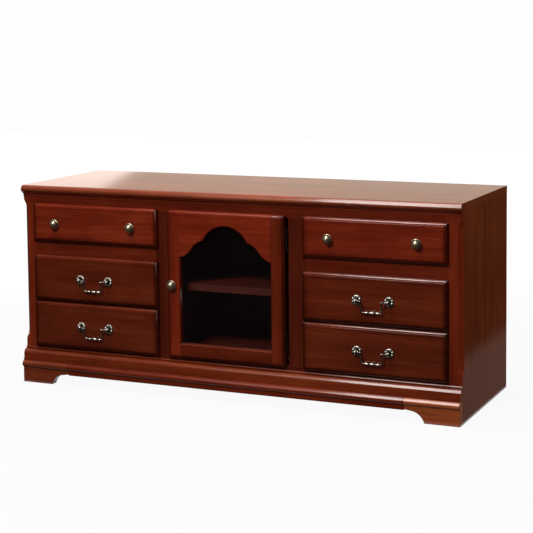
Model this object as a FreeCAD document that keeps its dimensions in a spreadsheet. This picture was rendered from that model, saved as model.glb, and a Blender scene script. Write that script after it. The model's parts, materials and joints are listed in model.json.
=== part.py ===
import FreeCAD, Part
import math
import os
import re

import Sketcher

# Traditional television stand: a wide case with three drawers on each side of a glazed door.
# The stand rests on the floor at Z = 0, faces -Y, and has +X to the right of someone facing it.
# The origin lies under the middle of the whole stand, knobs included. All sizes are millimetres.

SIZES = {
    # Case boards
    "case_width": 1524.0,
    "case_height": 665.0,
    "case_depth": 495.0,
    "top_thickness": 22.0,
    "side_thickness": 20.0,
    "partition_thickness": 18.0,
    "deck_thickness": 18.0,
    "back_thickness": 6.0,
    "back_bottom": 100.0,
    "cleat_section": 20.0,
    "cleat_inset": 30.0,
    # Face frame
    "frame_thickness": 24.0,
    "post_width": 52.0,
    "stile_width": 58.0,
    "door_opening": 406.0,
    "bottom_rail_height": 84.0,
    "top_rail_height": 47.0,
    "upper_rail_height": 63.0,
    "lower_rail_height": 23.0,
    "top_opening_height": 108.0,
    # Stopped chamfer on the outer corner of each post
    "chamfer_leg": 15.0,
    "tongue_length": 36.0,
    "chamfer_top_gap": 3.0,
    "chamfer_bottom_gap": 20.0,
    # Rounded front edge of the top, and the cornice under it
    "nose_reach": 17.0,
    "nose_round": 15.0,
    "cornice_height": 16.0,
    "cornice_reach": 9.0,
    "cornice_fillet": 4.0,
    "cornice_foot": 2.0,
    "cornice_cove": 8.0,
    # Base cap moulding
    "cap_height": 44.0,
    "cap_bead": 7.0,
    "cap_bead_round": 3.7,
    "cap_bead_seat": 3.0,
    "cap_quirk": 2.0,
    "cap_round": 15.0,
    "cap_fillet_height": 6.0,
    "cap_fillet_reach": 3.0,
    # Base board and bracket feet
    "base_height": 74.0,
    "base_shoulder": 20.0,
    "base_round": 13.0,
    "base_roll": 8.0,
    "base_roll_return": 8.0,
    "apron_bottom": 35.0,
    "foot_length": 176.0,
    "foot_tread": 112.0,
    "foot_arch_height": 34.0,
    "foot_arch_run": 36.0,
    "foot_arch_round": 48.0,
    "foot_notch": 3.0,
    # Lipped fronts of drawers and door
    "front_proud": 15.0,
    "frame_gap": 0.3,
    "front_clearance": 1.5,
    "base_clearance": 7.0,
    "core_depth": 7.0,
    "lip_overlap": 9.0,
    "edge_width": 9.0,
    "edge_round": 8.0,
    "field_rise": 2.0,
    # Drawer boxes and their runners
    "box_back_gap": 42.3,
    "box_wall": 12.0,
    "box_clearance": 3.0,
    "box_headroom": 8.0,
    "box_footroom": 4.0,
    "box_bottom_thickness": 5.0,
    "box_bottom_inset": 10.0,
    "box_bottom_groove": 5.0,
    "runner_height": 12.0,
    "runner_groove": 5.0,
    "runner_play": 0.3,
    "runner_back_gap": 20.0,
    # Shelf behind the door
    "shelf_level": 335.0,
    "shelf_thickness": 22.0,
    "shelf_setback": 60.0,
    "shelf_back_gap": 20.0,
    "shelf_play": 1.0,
    "shelf_pin_diameter": 5.0,
    "shelf_pin_length": 18.0,
    "shelf_pin_reach": 8.0,
    "shelf_pin_inset": 60.0,
    # Cable ports in the back
    "port_diameter": 64.0,
    "port_rise": 90.0,
    "port_offset": 70.0,
    # Door frame and glass
    "latch_overlap": 14.0,
    "door_stile_width": 47.0,
    "door_rail_width": 50.0,
    "arch_crown": 45.0,
    "arch_head_radius": 85.0,
    "arch_head_width": 154.0,
    "arch_drop": 107.0,
    "arch_shoulder_radius": 70.0,
    "opening_chamfer": 3.0,
    "rabbet_width": 8.0,
    "glass_setback": 12.0,
    "glass_thickness": 4.0,
    "glass_play": 0.5,
    # Butt hinges
    "barrel_diameter": 7.0,
    "barrel_play": 0.3,
    "hinge_height": 76.0,
    "hinge_offset": 72.0,
    "leaf_thickness": 1.4,
    "frame_leaf_width": 20.0,
    "knuckle_gap": 0.3,
    "hinge_pin_diameter": 3.4,
    "hinge_pin_play": 0.05,
    # Magnetic catch
    "catch_drop": 106.0,
    "catch_height": 40.0,
    "catch_width": 14.0,
    "catch_depth": 24.0,
    "strike_thickness": 1.5,
    "strike_width": 18.0,
    "catch_play": 0.3,
    # Turned knobs
    "knob_reach": 27.0,
    "knob_diameter": 31.0,
    "knob_base_diameter": 18.0,
    "knob_base_height": 2.5,
    "knob_neck_diameter": 10.0,
    "knob_neck_start": 5.0,
    "knob_neck_end": 8.0,
    "knob_rim_start": 13.5,
    "knob_rim_height": 1.5,
    "knob_rim_round": 2.0,
    "knob_dome_diameter": 24.0,
    "knob_dome_rise": 10.5,
    "knob_flare": 11.0,
    "knob_spacing": 284.0,
    # Bail pulls
    "pull_span": 104.0,
    "rosette_diameter": 32.0,
    "rosette_edge": 1.5,
    "rosette_rim": 3.0,
    "rosette_dish_diameter": 22.0,
    "rosette_dish_height": 3.0,
    "post_foot_diameter": 14.0,
    "post_stem_diameter": 9.0,
    "post_stem_start": 6.0,
    "post_standoff": 13.0,
    "post_ball_diameter": 13.0,
    "bail_diameter": 5.0,
    "bail_play": 0.06,
    "bail_end_inset": 1.0,
    "bail_arm_straight": 1.0,
    "bail_elbow_reach": 7.2,
    "bail_elbow_diameter": 6.2,
    "bail_drop": 35.0,
    "bail_tuck": 2.4,
    "bail_leg_span": 68.0,
    "bail_foot_bend": 9.0,
    "bail_bead_length": 18.0,
    "bail_bead_swell": 1.8,
    "bail_bead_step": 0.6,
    "bail_swell_place": 18.2,
    "bail_swell_length": 13.0,
    "bail_swell_step": 0.3,
    "bail_swell_rise": 1.0,
}

# Places worked out from the sizes
PLACES = {
    "half_width": "case_width / 2",
    "front_reach": "front_proud + frame_gap + knob_reach",
    "face_y": "(front_reach - case_depth) / 2",
    "back_y": "face_y + case_depth",
    "frame_back": "face_y + frame_thickness",
    "panel_back": "back_y - back_thickness",
    "lip_back": "face_y - frame_gap",
    "field_y": "lip_back - front_proud",
    "core_back": "lip_back + core_depth",
    "case_top": "case_height - top_thickness",
    "side_inner": "half_width - side_thickness",
    "post_inner": "half_width - post_width",
    "stile_inner": "door_opening / 2",
    "stile_outer": "stile_inner + stile_width",
    "partition_inner": "stile_outer - partition_thickness",
    "bank_middle": "(stile_outer + post_inner) / 2",
    "bank_width": "post_inner - stile_outer",
    "cap_bottom": "base_height",
    "cap_top": "cap_bottom + cap_height",
    "deck_height": "cap_top + base_clearance + lip_overlap",
    "opening_top": "case_top - top_rail_height",
    "top_opening_bottom": "opening_top - top_opening_height",
    "middle_opening_top": "top_opening_bottom - upper_rail_height",
    "tall_opening_height": "(middle_opening_top - lower_rail_height - deck_height) / 2",
    "lower_opening_top": "deck_height + tall_opening_height",
    "middle_opening_bottom": "lower_opening_top + lower_rail_height",
    "cornice_bottom": "case_top - cornice_height",
    "cap_round_seat": "cap_bead_seat + cap_quirk",
    "cap_face": "cap_round_seat + cap_round",
    "cap_shoulder": "cap_height - cap_bead",
    "chamfer_depth": "chamfer_leg / sqrt(2)",
    "chamfer_top": "cornice_bottom - chamfer_top_gap",
    "chamfer_bottom": "cap_top + chamfer_bottom_gap",
    "tongue_radius": "(chamfer_depth ^ 2 + tongue_length ^ 2) / (4 * chamfer_depth)",
    "base_reach": "base_shoulder + base_round",
    "base_face": "base_reach - base_roll_return",
    "base_roll_top": "base_height - base_round",
    "base_roll_bottom": "base_roll_top - base_roll",
    "foot_start": "half_width - foot_length",
    "foot_spring": "foot_length - foot_tread",
    "foot_crown": "foot_spring - foot_arch_run",
    "lip_thickness": "front_proud - field_rise",
    "box_width": "bank_width - 2 * box_clearance",
    "box_inner": "stile_outer + box_clearance",
    "box_outer": "post_inner - box_clearance",
    "box_back": "panel_back - box_back_gap",
    "door_left": "-(stile_inner + latch_overlap)",
    "hinge_x": "stile_inner - barrel_diameter / 2 - barrel_play",
    "hinge_y": "face_y - barrel_diameter / 2 - barrel_play",
    "door_right": "hinge_x - barrel_diameter / 2 - barrel_play",
    "door_bottom": "deck_height - lip_overlap",
    "door_top": "opening_top + lip_overlap",
    "door_middle_z": "(door_bottom + door_top) / 2",
    "light_left": "door_left + door_stile_width",
    "light_right": "door_right - door_stile_width",
    "light_middle": "(light_left + light_right) / 2",
    "light_bottom": "door_bottom + door_rail_width",
    "arch_apex": "door_top - arch_crown",
    "arch_head_rise": "arch_head_radius - sqrt(arch_head_radius ^ 2 - (arch_head_width / 2) ^ 2)",
    "arch_cusp": "arch_apex - arch_head_rise",
    "arch_spring": "arch_apex - arch_drop",
    "arch_shoulder_x": "((light_right - light_middle) + arch_head_width / 2) / 2",
    "arch_shoulder_z": "(arch_cusp + arch_spring) / 2",
    "rabbet_left": "light_left - rabbet_width",
    "rabbet_right": "light_right + rabbet_width",
    "rabbet_bottom": "light_bottom - rabbet_width",
    "rabbet_top": "arch_apex + rabbet_width",
    "glass_y": "field_y + glass_setback",
    "leaf_bend": "barrel_diameter / 2 + knuckle_gap",
    "catch_level": "opening_top - catch_drop",
    "catch_front": "core_back + strike_thickness + catch_play",
    "knob_neck": "knob_neck_diameter / 2",
    "knob_rim_end": "knob_rim_start + knob_rim_height",
    "knob_dome": "knob_dome_diameter / 2",
    "knob_dome_radius": "(knob_dome ^ 2 + knob_dome_rise ^ 2) / (2 * knob_dome_rise)",
    "post_ball": "post_ball_diameter / 2",
    "post_stem": "post_stem_diameter / 2",
    "post_stem_end": "post_standoff - sqrt(post_ball ^ 2 - post_stem ^ 2)",
    "bail_y": "field_y - post_standoff",
    "bail_leg": "bail_leg_span / 2",
    "bail_end": "pull_span / 2 - bail_end_inset",
    "bail_rod": "bail_diameter / 2",
    "bail_arm": "pull_span / 2 - post_ball - bail_arm_straight",
    "bail_arm_run": "bail_arm - bail_leg",
    "bail_arm_bend": "(bail_arm_run ^ 2 + bail_elbow_reach ^ 2) / (4 * bail_elbow_reach)",
    "bail_lean": "bail_elbow_reach + bail_tuck",
    "bail_leg_length": "sqrt(bail_drop ^ 2 + bail_lean ^ 2)",
    "bead_edge": "bail_rod + bail_bead_step",
    "bead_radius": "(bail_bead_length ^ 2 / 4 + bail_bead_swell ^ 2) / (2 * bail_bead_swell)",
    "swell_edge": "bail_rod + bail_swell_step",
    "swell_radius": "(bail_swell_length ^ 2 / 4 + bail_swell_rise ^ 2) / (2 * bail_swell_rise)",
}

SIDES = {"left": -1, "right": 1}
KNUCKLES = 5

doc = FreeCAD.newDocument("tv_stand")
parts = {}


def fill_sheet(name, rows):
    """Write one spreadsheet with a named cell for each row."""
    sheet = doc.addObject("Spreadsheet::Sheet", name)
    for row, (alias, text) in enumerate(rows, start=1):
        sheet.set(f"A{row}", alias)
        sheet.set(f"B{row}", text)
        sheet.setAlias(f"B{row}", alias)
    return sheet


def link(formula, own_sheet=False):
    """Turn the plain names in a formula into references to the sheets' cells."""
    def cell(match):
        word = match.group(0)
        if word in SIZES:
            return f"sizes.{word}"
        if word in PLACES and not own_sheet:
            return f"places.{word}"
        return word
    return re.sub(r"[a-z][a-z_]+", cell, formula)


sizes = fill_sheet("sizes", [(name, str(value)) for name, value in SIZES.items()])
places = fill_sheet("places", [(name, "=" + link(text, True)) for name, text in PLACES.items()])
doc.recompute()


def value(formula):
    """The number that a formula gives with the present sizes."""
    return float(sizes.evalExpression(link(formula)))


def span(side, near, far):
    """Low and high X formulas of a stretch on one side of the middle."""
    if side > 0:
        return near, far
    return f"-({far})", f"-({near})"


def place(thing, x="0", y="0", z="0"):
    """Bind where an object stands."""
    for axis, formula in zip("xyz", (x, y, z)):
        thing.setExpression(f".Placement.Base.{axis}", link(formula))
    return thing


def keep(label, thing):
    """Name a finished sub-part and list it for writing."""
    thing.Label = label
    parts[label] = thing
    return thing


# Boards and other plain forms


def board(x, y, z, name="board"):
    """A square-edged board between low and high formulas on each axis."""
    box = doc.addObject("Part::Box", name)
    for size, (low, high) in zip(("Length", "Width", "Height"), (x, y, z)):
        box.setExpression(size, link(f"({high}) - ({low})"))
    return place(box, x[0], y[0], z[0])


def rod(diameter, length, axis, start, name="rod"):
    """A round rod along one axis from its start point."""
    turn = {
        "x": FreeCAD.Rotation(FreeCAD.Vector(0, 1, 0), 90),
        "y": FreeCAD.Rotation(FreeCAD.Vector(1, 0, 0), -90),
        "z": FreeCAD.Rotation(),
    }
    cylinder = doc.addObject("Part::Cylinder", name)
    cylinder.setExpression("Radius", link(f"({diameter}) / 2"))
    cylinder.setExpression("Height", link(length))
    cylinder.Placement = FreeCAD.Placement(FreeCAD.Vector(), turn[axis])
    return place(cylinder, *start)


def cut(base, *tools):
    """The base with the tools taken away, one after another."""
    for tool in tools:
        result = doc.addObject("Part::Cut", "cut")
        result.Base = base
        result.Tool = tool
        base = result
    return base


def fuse(*shapes):
    """Several touching shapes made one piece."""
    result = doc.addObject("Part::MultiFuse", "fuse")
    result.Shapes = list(shapes)
    return result


def group(label, things):
    """Separate pieces of one kind kept together under one name."""
    compound = doc.addObject("Part::Compound", "group")
    compound.Links = list(things)
    return keep(label, compound)


def mirrored(source, x="0"):
    """The other hand of a piece, mirrored across a plane that faces along X."""
    twin = doc.addObject("Part::Mirroring", "twin")
    twin.Source = source
    twin.Normal = FreeCAD.Vector(1, 0, 0)
    twin.setExpression(".Base.x", link(x))
    return twin


# Sketches and features


def new_body(name):
    """An empty body."""
    return doc.addObject("PartDesign::Body", name)


def sketch_on(body, plane, name):
    """A sketch on one of the body's own planes."""
    sketch = body.newObject("Sketcher::SketchObject", name)
    support = next(item for item in body.Origin.OriginFeatures if item.Role == plane)
    sketch.AttachmentSupport = (support, "")
    sketch.MapMode = "FlatFace"
    return sketch


def bind(sketch, formula, kind, *where):
    """Add one dimension to a sketch and bind it to its formula."""
    index = sketch.addConstraint(Sketcher.Constraint(kind, *where, value(formula)))
    sketch.setExpression(f"Constraints[{index}]", link(formula))


def arc_between(start, end, radius):
    """An arc under half a circle, anticlockwise for a positive radius and clockwise for a negative one."""
    chord = end - start
    side = math.copysign(1.0, radius)
    reach = math.sqrt(max(radius ** 2 - chord.Length ** 2 / 4, 0.0))
    left = FreeCAD.Vector(-chord.y, chord.x, 0) / chord.Length
    centre = (start + end) * 0.5 + left * reach * side
    first, last = (start, end) if side > 0 else (end, start)
    angles = [math.atan2(p.y - centre.y, p.x - centre.x) for p in (first, last)]
    circle = Part.Circle(centre, FreeCAD.Vector(0, 0, 1), abs(radius))
    return Part.ArcOfCircle(circle, angles[0], angles[1])


def outline(sketch, corners, bends=None, closed=True):
    """Draw lines and arcs through corners, with every corner and radius bound.

    bends gives the radius formula of the arc that leaves a corner, with a leading minus for a clockwise arc.
    """
    bends = bends or {}
    points = [FreeCAD.Vector(value(across), value(up), 0) for across, up in corners]
    count = len(points) if closed else len(points) - 1
    edges = []
    for index in range(count):
        start = points[index]
        end = points[(index + 1) % len(points)]
        bend = bends.get(index)
        if bend is None:
            edges.append((sketch.addGeometry(Part.LineSegment(start, end)), 1, 2))
            continue
        clockwise = bend.startswith("-")
        radius = value(bend.lstrip("-")) * (-1 if clockwise else 1)
        geometry = sketch.addGeometry(arc_between(start, end, radius))
        edges.append((geometry, 2, 1) if clockwise else (geometry, 1, 2))
    for index in range(count if closed else count - 1):
        here = edges[index]
        following = edges[(index + 1) % count]
        sketch.addConstraint(Sketcher.Constraint("Coincident", here[0], here[2], following[0], following[1]))
    ends = [(edge, first) for edge, first, _ in edges]
    if not closed:
        ends.append((edges[-1][0], edges[-1][2]))
    for (edge, vertex), (across, up) in zip(ends, corners):
        bind(sketch, across, "DistanceX", -1, 1, edge, vertex)
        bind(sketch, up, "DistanceY", -1, 1, edge, vertex)
    for index, bend in bends.items():
        bind(sketch, bend.lstrip("-"), "Radius", edges[index][0])


def rectangle(sketch, left, bottom, right, top):
    """Draw a rectangle between bound edges."""
    outline(sketch, [(left, bottom), (right, bottom), (right, top), (left, top)])


def circle(sketch, across, up, radius):
    """Draw a bound circle."""
    centre = FreeCAD.Vector(value(across), value(up), 0)
    ring = sketch.addGeometry(Part.Circle(centre, FreeCAD.Vector(0, 0, 1), value(radius)))
    bind(sketch, across, "DistanceX", -1, 1, ring, 3)
    bind(sketch, up, "DistanceY", -1, 1, ring, 3)
    bind(sketch, radius, "Radius", ring)


def pad(body, sketch, length, reverse=False):
    """Raise a sketch into a solid."""
    feature = body.newObject("PartDesign::Pad", "pad")
    feature.Profile = sketch
    feature.setExpression("Length", link(length))
    feature.Reversed = reverse
    return feature


def pocket(body, sketch, length, both_ways=False, reverse=False):
    """Cut a sketch out of the body, and make sure that it cuts."""
    doc.recompute()
    before = body.Shape.Volume
    feature = body.newObject("PartDesign::Pocket", "pocket")
    feature.Profile = sketch
    feature.SideType = "Symmetric" if both_ways else "One side"
    feature.setExpression("Length", link(length))
    feature.Reversed = reverse
    doc.recompute()
    if not body.Shape.Volume < before:
        raise RuntimeError(f"the pocket in {body.Label} cuts nothing")
    return feature


def revolve(body, sketch, axis="V_Axis"):
    """Turn a half outline about one of the sketch's own axes."""
    feature = body.newObject("PartDesign::Revolution", "revolve")
    feature.Profile = sketch
    feature.ReferenceAxis = (sketch, [axis])
    feature.Angle = 360
    return feature


def front_face(shape):
    """Number of the foremost flat face of a shape."""
    flat = [(face.CenterOfMass.y, number) for number, face in enumerate(shape.Faces, start=1)
            if face.Surface.TypeId == "Part::GeomPlane" and abs(face.normalAt(0, 0).y) > 0.999]
    return min(flat)[1]


def round_edges(body, base, names, radius):
    """Round the edges of named faces."""
    feature = body.newObject("PartDesign::Fillet", "round")
    feature.Base = (base, names)
    feature.setExpression("Radius", link(radius))
    doc.recompute()
    return feature


def chamfer_edges(body, base, names, size):
    """Take a flat strip off named edges."""
    feature = body.newObject("PartDesign::Chamfer", "chamfer")
    feature.Base = (base, names)
    feature.setExpression("Size", link(size))
    doc.recompute()
    return feature


# Mouldings that run along X are one section pushed along the front


def moulding(label, x, z, corners, bends, length):
    """A moulded strip whose section is drawn from the face of the case outwards."""
    body = new_body(label)
    sketch = sketch_on(body, "YZ_Plane", "section")
    outline(sketch, corners, bends)
    pad(body, sketch, length)
    return place(body, x, "face_y", z)


def base_section(bottom):
    """Section of the base board: rolled top edge over a flat face."""
    corners = [
        ("0", bottom),
        ("0", "base_height"),
        ("-(base_shoulder)", "base_height"),
        ("-(base_reach)", "base_roll_top"),
        ("-(base_face)", "base_roll_bottom"),
        ("-(base_face)", bottom),
    ]
    return corners, {2: "base_round", 3: "base_roll"}


def make_mouldings():
    """Top with its rounded nose, cornice, base cap, apron and bracket feet."""
    keep("top_panel", moulding("top_panel", "-(half_width)", "case_top", [
        ("case_depth", "0"),
        ("case_depth", "top_thickness"),
        ("nose_round - nose_reach", "top_thickness"),
        ("-(nose_reach)", "top_thickness - nose_round"),
        ("top_thickness - nose_round - nose_reach", "0"),
    ], {2: "nose_round", 3: "top_thickness - nose_round"}, "case_width"))

    keep("cornice_moulding", moulding("cornice_moulding", "-(half_width)", "case_top", [
        ("0", "0"),
        ("-(cornice_reach)", "0"),
        ("-(cornice_reach)", "-(cornice_fillet)"),
        ("-(cornice_foot)", "cornice_foot - cornice_height"),
        ("-(cornice_foot)", "-(cornice_height)"),
        ("0", "-(cornice_height)"),
    ], {2: "-cornice_cove"}, "case_width"))

    keep("base_cap_moulding", moulding("base_cap_moulding", "-(half_width)", "cap_bottom", [
        ("0", "0"),
        ("0", "cap_height"),
        ("-(cap_bead_seat)", "cap_height"),
        ("-(cap_bead_seat)", "cap_shoulder"),
        ("-(cap_round_seat)", "cap_shoulder"),
        ("-(cap_face)", "cap_shoulder - cap_round"),
        ("-(cap_face)", "cap_fillet_height"),
        ("-(cap_face + cap_fillet_reach)", "cap_fillet_height"),
        ("-(cap_face + cap_fillet_reach)", "0"),
    ], {2: "cap_bead_round", 4: "cap_round"}, "case_width"))

    corners, bends = base_section("apron_bottom")
    keep("base_apron", moulding("base_apron", "-(foot_start)", "0", corners, bends, "2 * foot_start"))

    corners, bends = base_section("0")
    foot = moulding("bracket_foot_right", "foot_start", "0", corners, bends, "foot_length")
    arch = sketch_on(foot, "XZ_Plane", "arch")
    outline(arch, [
        ("0", "0"),
        ("foot_spring", "0"),
        ("foot_crown", "foot_arch_height"),
        ("0", "apron_bottom + foot_notch"),
    ], {1: "foot_arch_round"})
    pocket(foot, arch, "3 * base_reach", both_ways=True)
    keep("bracket_foot_right", foot)
    keep("bracket_foot_left", mirrored(foot))


# Case


def make_posts():
    """Front corner posts with a stopped chamfer that ends in a lamb's tongue."""
    post = place(new_body("corner_post_right"), "half_width", "face_y")
    section = sketch_on(post, "XY_Plane", "section")
    rectangle(section, "-(post_width)", "0", "0", "frame_thickness")
    pad(post, section, "case_top")
    chamfer = sketch_on(post, "XZ_Plane", "chamfer")
    into_corner = FreeCAD.Rotation(FreeCAD.Vector(0, 1, 0), 135)
    chamfer.AttachmentOffset = FreeCAD.Placement(FreeCAD.Vector(), into_corner)
    outline(chamfer, [
        ("-(chamfer_leg)", "chamfer_bottom"),
        ("0", "chamfer_bottom"),
        ("chamfer_depth / 2", "chamfer_bottom + tongue_length / 2"),
        ("chamfer_depth", "chamfer_bottom + tongue_length"),
        ("chamfer_depth", "chamfer_top - tongue_length"),
        ("chamfer_depth / 2", "chamfer_top - tongue_length / 2"),
        ("0", "chamfer_top"),
        ("-(chamfer_leg)", "chamfer_top"),
    ], {1: "-tongue_radius", 2: "tongue_radius", 4: "tongue_radius", 5: "-tongue_radius"})
    pocket(post, chamfer, "4 * chamfer_leg", both_ways=True)
    keep("corner_post_right", post)
    keep("corner_post_left", mirrored(post))


def make_frame():
    """Rails and stiles of the face frame."""
    depth = ("face_y", "frame_back")
    across = ("-(post_inner)", "post_inner")
    keep("top_rail", board(across, depth, ("opening_top", "case_top")))
    keep("bottom_rail", board(across, depth, ("deck_height - bottom_rail_height", "deck_height")))
    rails = []
    for hand, side in SIDES.items():
        stile = span(side, "stile_inner", "stile_outer")
        keep(f"stile_{hand}", board(stile, depth, ("deck_height", "opening_top")))
        bank = span(side, "stile_outer", "post_inner")
        rails.append(board(bank, depth, ("middle_opening_top", "top_opening_bottom"), "rail"))
        rails.append(board(bank, depth, ("lower_opening_top", "middle_opening_bottom"), "rail"))
    group("drawer_rails", rails)


def make_case():
    """Sides, partitions, deck, back, shelf and the cleats under the top."""
    inside = ("frame_back", "panel_back")
    keep("bottom_panel", board(
        ("-(side_inner)", "side_inner"), inside, ("deck_height - deck_thickness", "deck_height")))
    shelf_top = "shelf_level + shelf_thickness"
    shelf_front = "face_y + shelf_setback"
    shelf_back = "panel_back - shelf_back_gap"
    shelf_half = "partition_inner - shelf_play"
    keep("shelf", board(
        (f"-({shelf_half})", shelf_half), (shelf_front, shelf_back), ("shelf_level", shelf_top)))

    pins = []
    cleats = []
    cleat_run = ("frame_back + cleat_inset", "panel_back - cleat_inset")
    cleat_rise = ("case_top - cleat_section", "case_top")
    cleat_spots = [("side_inner - cleat_section", "side_inner"), ("stile_outer", "stile_outer + cleat_section")]
    for hand, side in SIDES.items():
        upright = span(side, "side_inner", "half_width")
        keep(f"side_panel_{hand}", board(upright, ("frame_back", "back_y"), ("0", "case_top")))
        for near, far in cleat_spots:
            cleats.append(board(span(side, near, far), cleat_run, cleat_rise, "cleat"))
        wall = board(span(side, "partition_inner", "stile_outer"), inside, ("deck_height", "case_top"))
        pin_tip = "partition_inner - shelf_pin_reach"
        pin_start = span(side, pin_tip, f"{pin_tip} + shelf_pin_length")
        pin_z = "shelf_level - shelf_pin_diameter / 2"
        spots = [f"{shelf_front} + shelf_pin_inset", f"{shelf_back} - shelf_pin_inset"]
        holes = []
        for spot in spots:
            start = (pin_start[0], spot, pin_z)
            pins.append(rod("shelf_pin_diameter", "shelf_pin_length", "x", start, "pin"))
            holes.append(rod("shelf_pin_diameter", "shelf_pin_length", "x", start, "hole"))
        keep(f"partition_{hand}", cut(wall, *holes))
    group("shelf_pins", pins)
    group("top_cleats", cleats)

    back = board(("-(side_inner)", "side_inner"), ("panel_back", "back_y"), ("back_bottom", "case_top"))
    ports = []
    for z in ("deck_height + port_rise", f"{shelf_top} + port_rise"):
        start = ("port_offset", "panel_back - back_thickness", z)
        ports.append(rod("port_diameter", "3 * back_thickness", "y", start, "port"))
    keep("back_panel", cut(back, *ports))


# Lipped fronts: a core inside the opening, a rounded lip over the frame and a raised field


def lipped_front(name, core, lip):
    """A front whose core and lip are rectangles given as left, bottom, right and top formulas."""
    body = new_body(name)
    inner = sketch_on(body, "XZ_Plane", "core")
    rectangle(inner, *core)
    pad(body, inner, "core_depth", reverse=True)
    outer = sketch_on(body, "XZ_Plane", "lip")
    rectangle(outer, *lip)
    rim = pad(body, outer, "lip_thickness")
    doc.recompute()
    round_edges(body, rim, [f"Face{front_face(rim.Shape)}"], "edge_round")
    raised = sketch_on(body, "XZ_Plane", "field")
    raised.setExpression(".AttachmentOffset.Base.z", link("lip_thickness"))
    left, bottom, right, top = lip
    rectangle(raised, f"{left} + edge_width", f"{bottom} + edge_width",
              f"{right} - edge_width", f"{top} - edge_width")
    pad(body, raised, "field_rise")
    return body


def drawer_front(width, height, name):
    """The lipped front of one drawer, drawn about the middle of its opening."""
    half_core = (f"({width}) / 2 - front_clearance", f"({height}) / 2 - front_clearance")
    half_lip = (f"({width}) / 2 + lip_overlap", f"({height}) / 2 + lip_overlap")
    core, lip = [(f"-({w})", f"-({h})", w, h) for w, h in (half_core, half_lip)]
    return lipped_front(name, core, lip)


def drawer_box(label, side, bottom, top):
    """Grooved sides, back and bottom of one drawer."""
    low = f"{bottom} + box_footroom"
    high = f"{top} - box_headroom"
    run = ("core_back", "box_back")
    groove_z = f"({low} + {high}) / 2 - runner_height / 2 - runner_play"
    groove_top = f"({low} + {high}) / 2 + runner_height / 2 + runner_play"
    panel = (f"{low} + box_bottom_inset", f"{low} + box_bottom_inset + box_bottom_thickness")
    pieces = []
    for near, far, groove, slot in (
        ("box_inner", "box_inner + box_wall",
         ("box_inner", "box_inner + runner_groove"),
         ("box_inner + box_wall - box_bottom_groove", "box_inner + box_wall")),
        ("box_outer - box_wall", "box_outer",
         ("box_outer - runner_groove", "box_outer"),
         ("box_outer - box_wall", "box_outer - box_wall + box_bottom_groove")),
    ):
        wall = board(span(side, near, far), run, (low, high), "wall")
        pieces.append(cut(
            wall,
            board(span(side, *groove), run, (groove_z, groove_top), "groove"),
            board(span(side, *slot), run, panel, "slot")))
    between = span(side, "box_inner + box_wall", "box_outer - box_wall")
    pieces.append(board(between, ("box_back - box_wall", "box_back"), (panel[1], high), "wall"))
    in_slots = span(
        side, "box_inner + box_wall - box_bottom_groove", "box_outer - box_wall + box_bottom_groove")
    pieces.append(board(in_slots, run, panel, "sheet"))
    group(label, pieces)


def drawer_runners(side, bottom, top):
    """The two strips that one drawer slides on, fixed to the partition and to the side."""
    middle = f"({bottom} + box_footroom + {top} - box_headroom) / 2"
    rise = (f"{middle} - runner_height / 2", f"{middle} + runner_height / 2")
    run = ("frame_back", "panel_back - runner_back_gap")
    reach = "runner_groove - runner_play"
    return [board(span(side, "stile_outer", f"box_inner + {reach}"), run, rise, "runner"),
            board(span(side, f"box_outer - ({reach})", "side_inner"), run, rise, "runner")]


# Knobs and bail pulls


def knob(x, z):
    """A turned knob with a dome inside a thin rim, standing on a front."""
    body = new_body("knob")
    half = sketch_on(body, "XY_Plane", "half")
    outline(half, [
        ("0", "0"),
        ("knob_base_diameter / 2", "0"),
        ("knob_base_diameter / 2", "-(knob_base_height)"),
        ("knob_neck", "-(knob_neck_start)"),
        ("knob_neck", "-(knob_neck_end)"),
        ("knob_diameter / 2", "-(knob_rim_start)"),
        ("knob_diameter / 2", "-(knob_rim_end)"),
        ("knob_diameter / 2 - knob_rim_round", "-(knob_rim_end + knob_rim_round)"),
        ("knob_dome", "knob_dome_rise - knob_reach"),
        ("0", "-(knob_reach)"),
    ], {4: "knob_flare", 6: "-knob_rim_round", 8: "-knob_dome_radius"})
    revolve(body, half)
    return place(body, x, "field_y", z)


def pull_posts(label, x, z):
    """The two rosettes of a pull with their ball posts, each bored for the bail from inside."""
    body = new_body("post")
    half = sketch_on(body, "XY_Plane", "half")
    outline(half, [
        ("0", "0"),
        ("rosette_diameter / 2", "0"),
        ("rosette_diameter / 2", "-(rosette_edge)"),
        ("rosette_diameter / 2 - rosette_rim", "-(rosette_edge + rosette_rim)"),
        ("rosette_dish_diameter / 2", "-(rosette_dish_height)"),
        ("post_foot_diameter / 2", "-(rosette_dish_height)"),
        ("post_stem", "-(post_stem_start)"),
        ("post_stem", "-(post_stem_end)"),
        ("0", "-(post_standoff + post_ball)"),
    ], {2: "-rosette_rim", 7: "-post_ball"})
    revolve(body, half)
    bore = sketch_on(body, "YZ_Plane", "bore")
    circle(bore, "-(post_standoff)", "0", "bail_rod + bail_play")
    pocket(body, bore, "post_ball_diameter", reverse=True)
    place(body, f"{x} - pull_span / 2", "field_y", z)
    group(label, [body, mirrored(body, x)])


def bent_rod(name, plane, corners, bends, start_plane, offset="0", across="0"):
    """A bail rod bent along a line, swept from a circle on the plane at the line's start."""
    body = new_body(name)
    path = sketch_on(body, plane, "path")
    outline(path, corners, bends, closed=False)
    section = sketch_on(body, start_plane, "section")
    section.setExpression(".AttachmentOffset.Base.z", link(offset))
    circle(section, across, "0", "bail_rod")
    pipe = body.newObject("PartDesign::AdditivePipe", "pipe")
    pipe.Profile = section
    pipe.Spine = (path, [])
    return body


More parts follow.
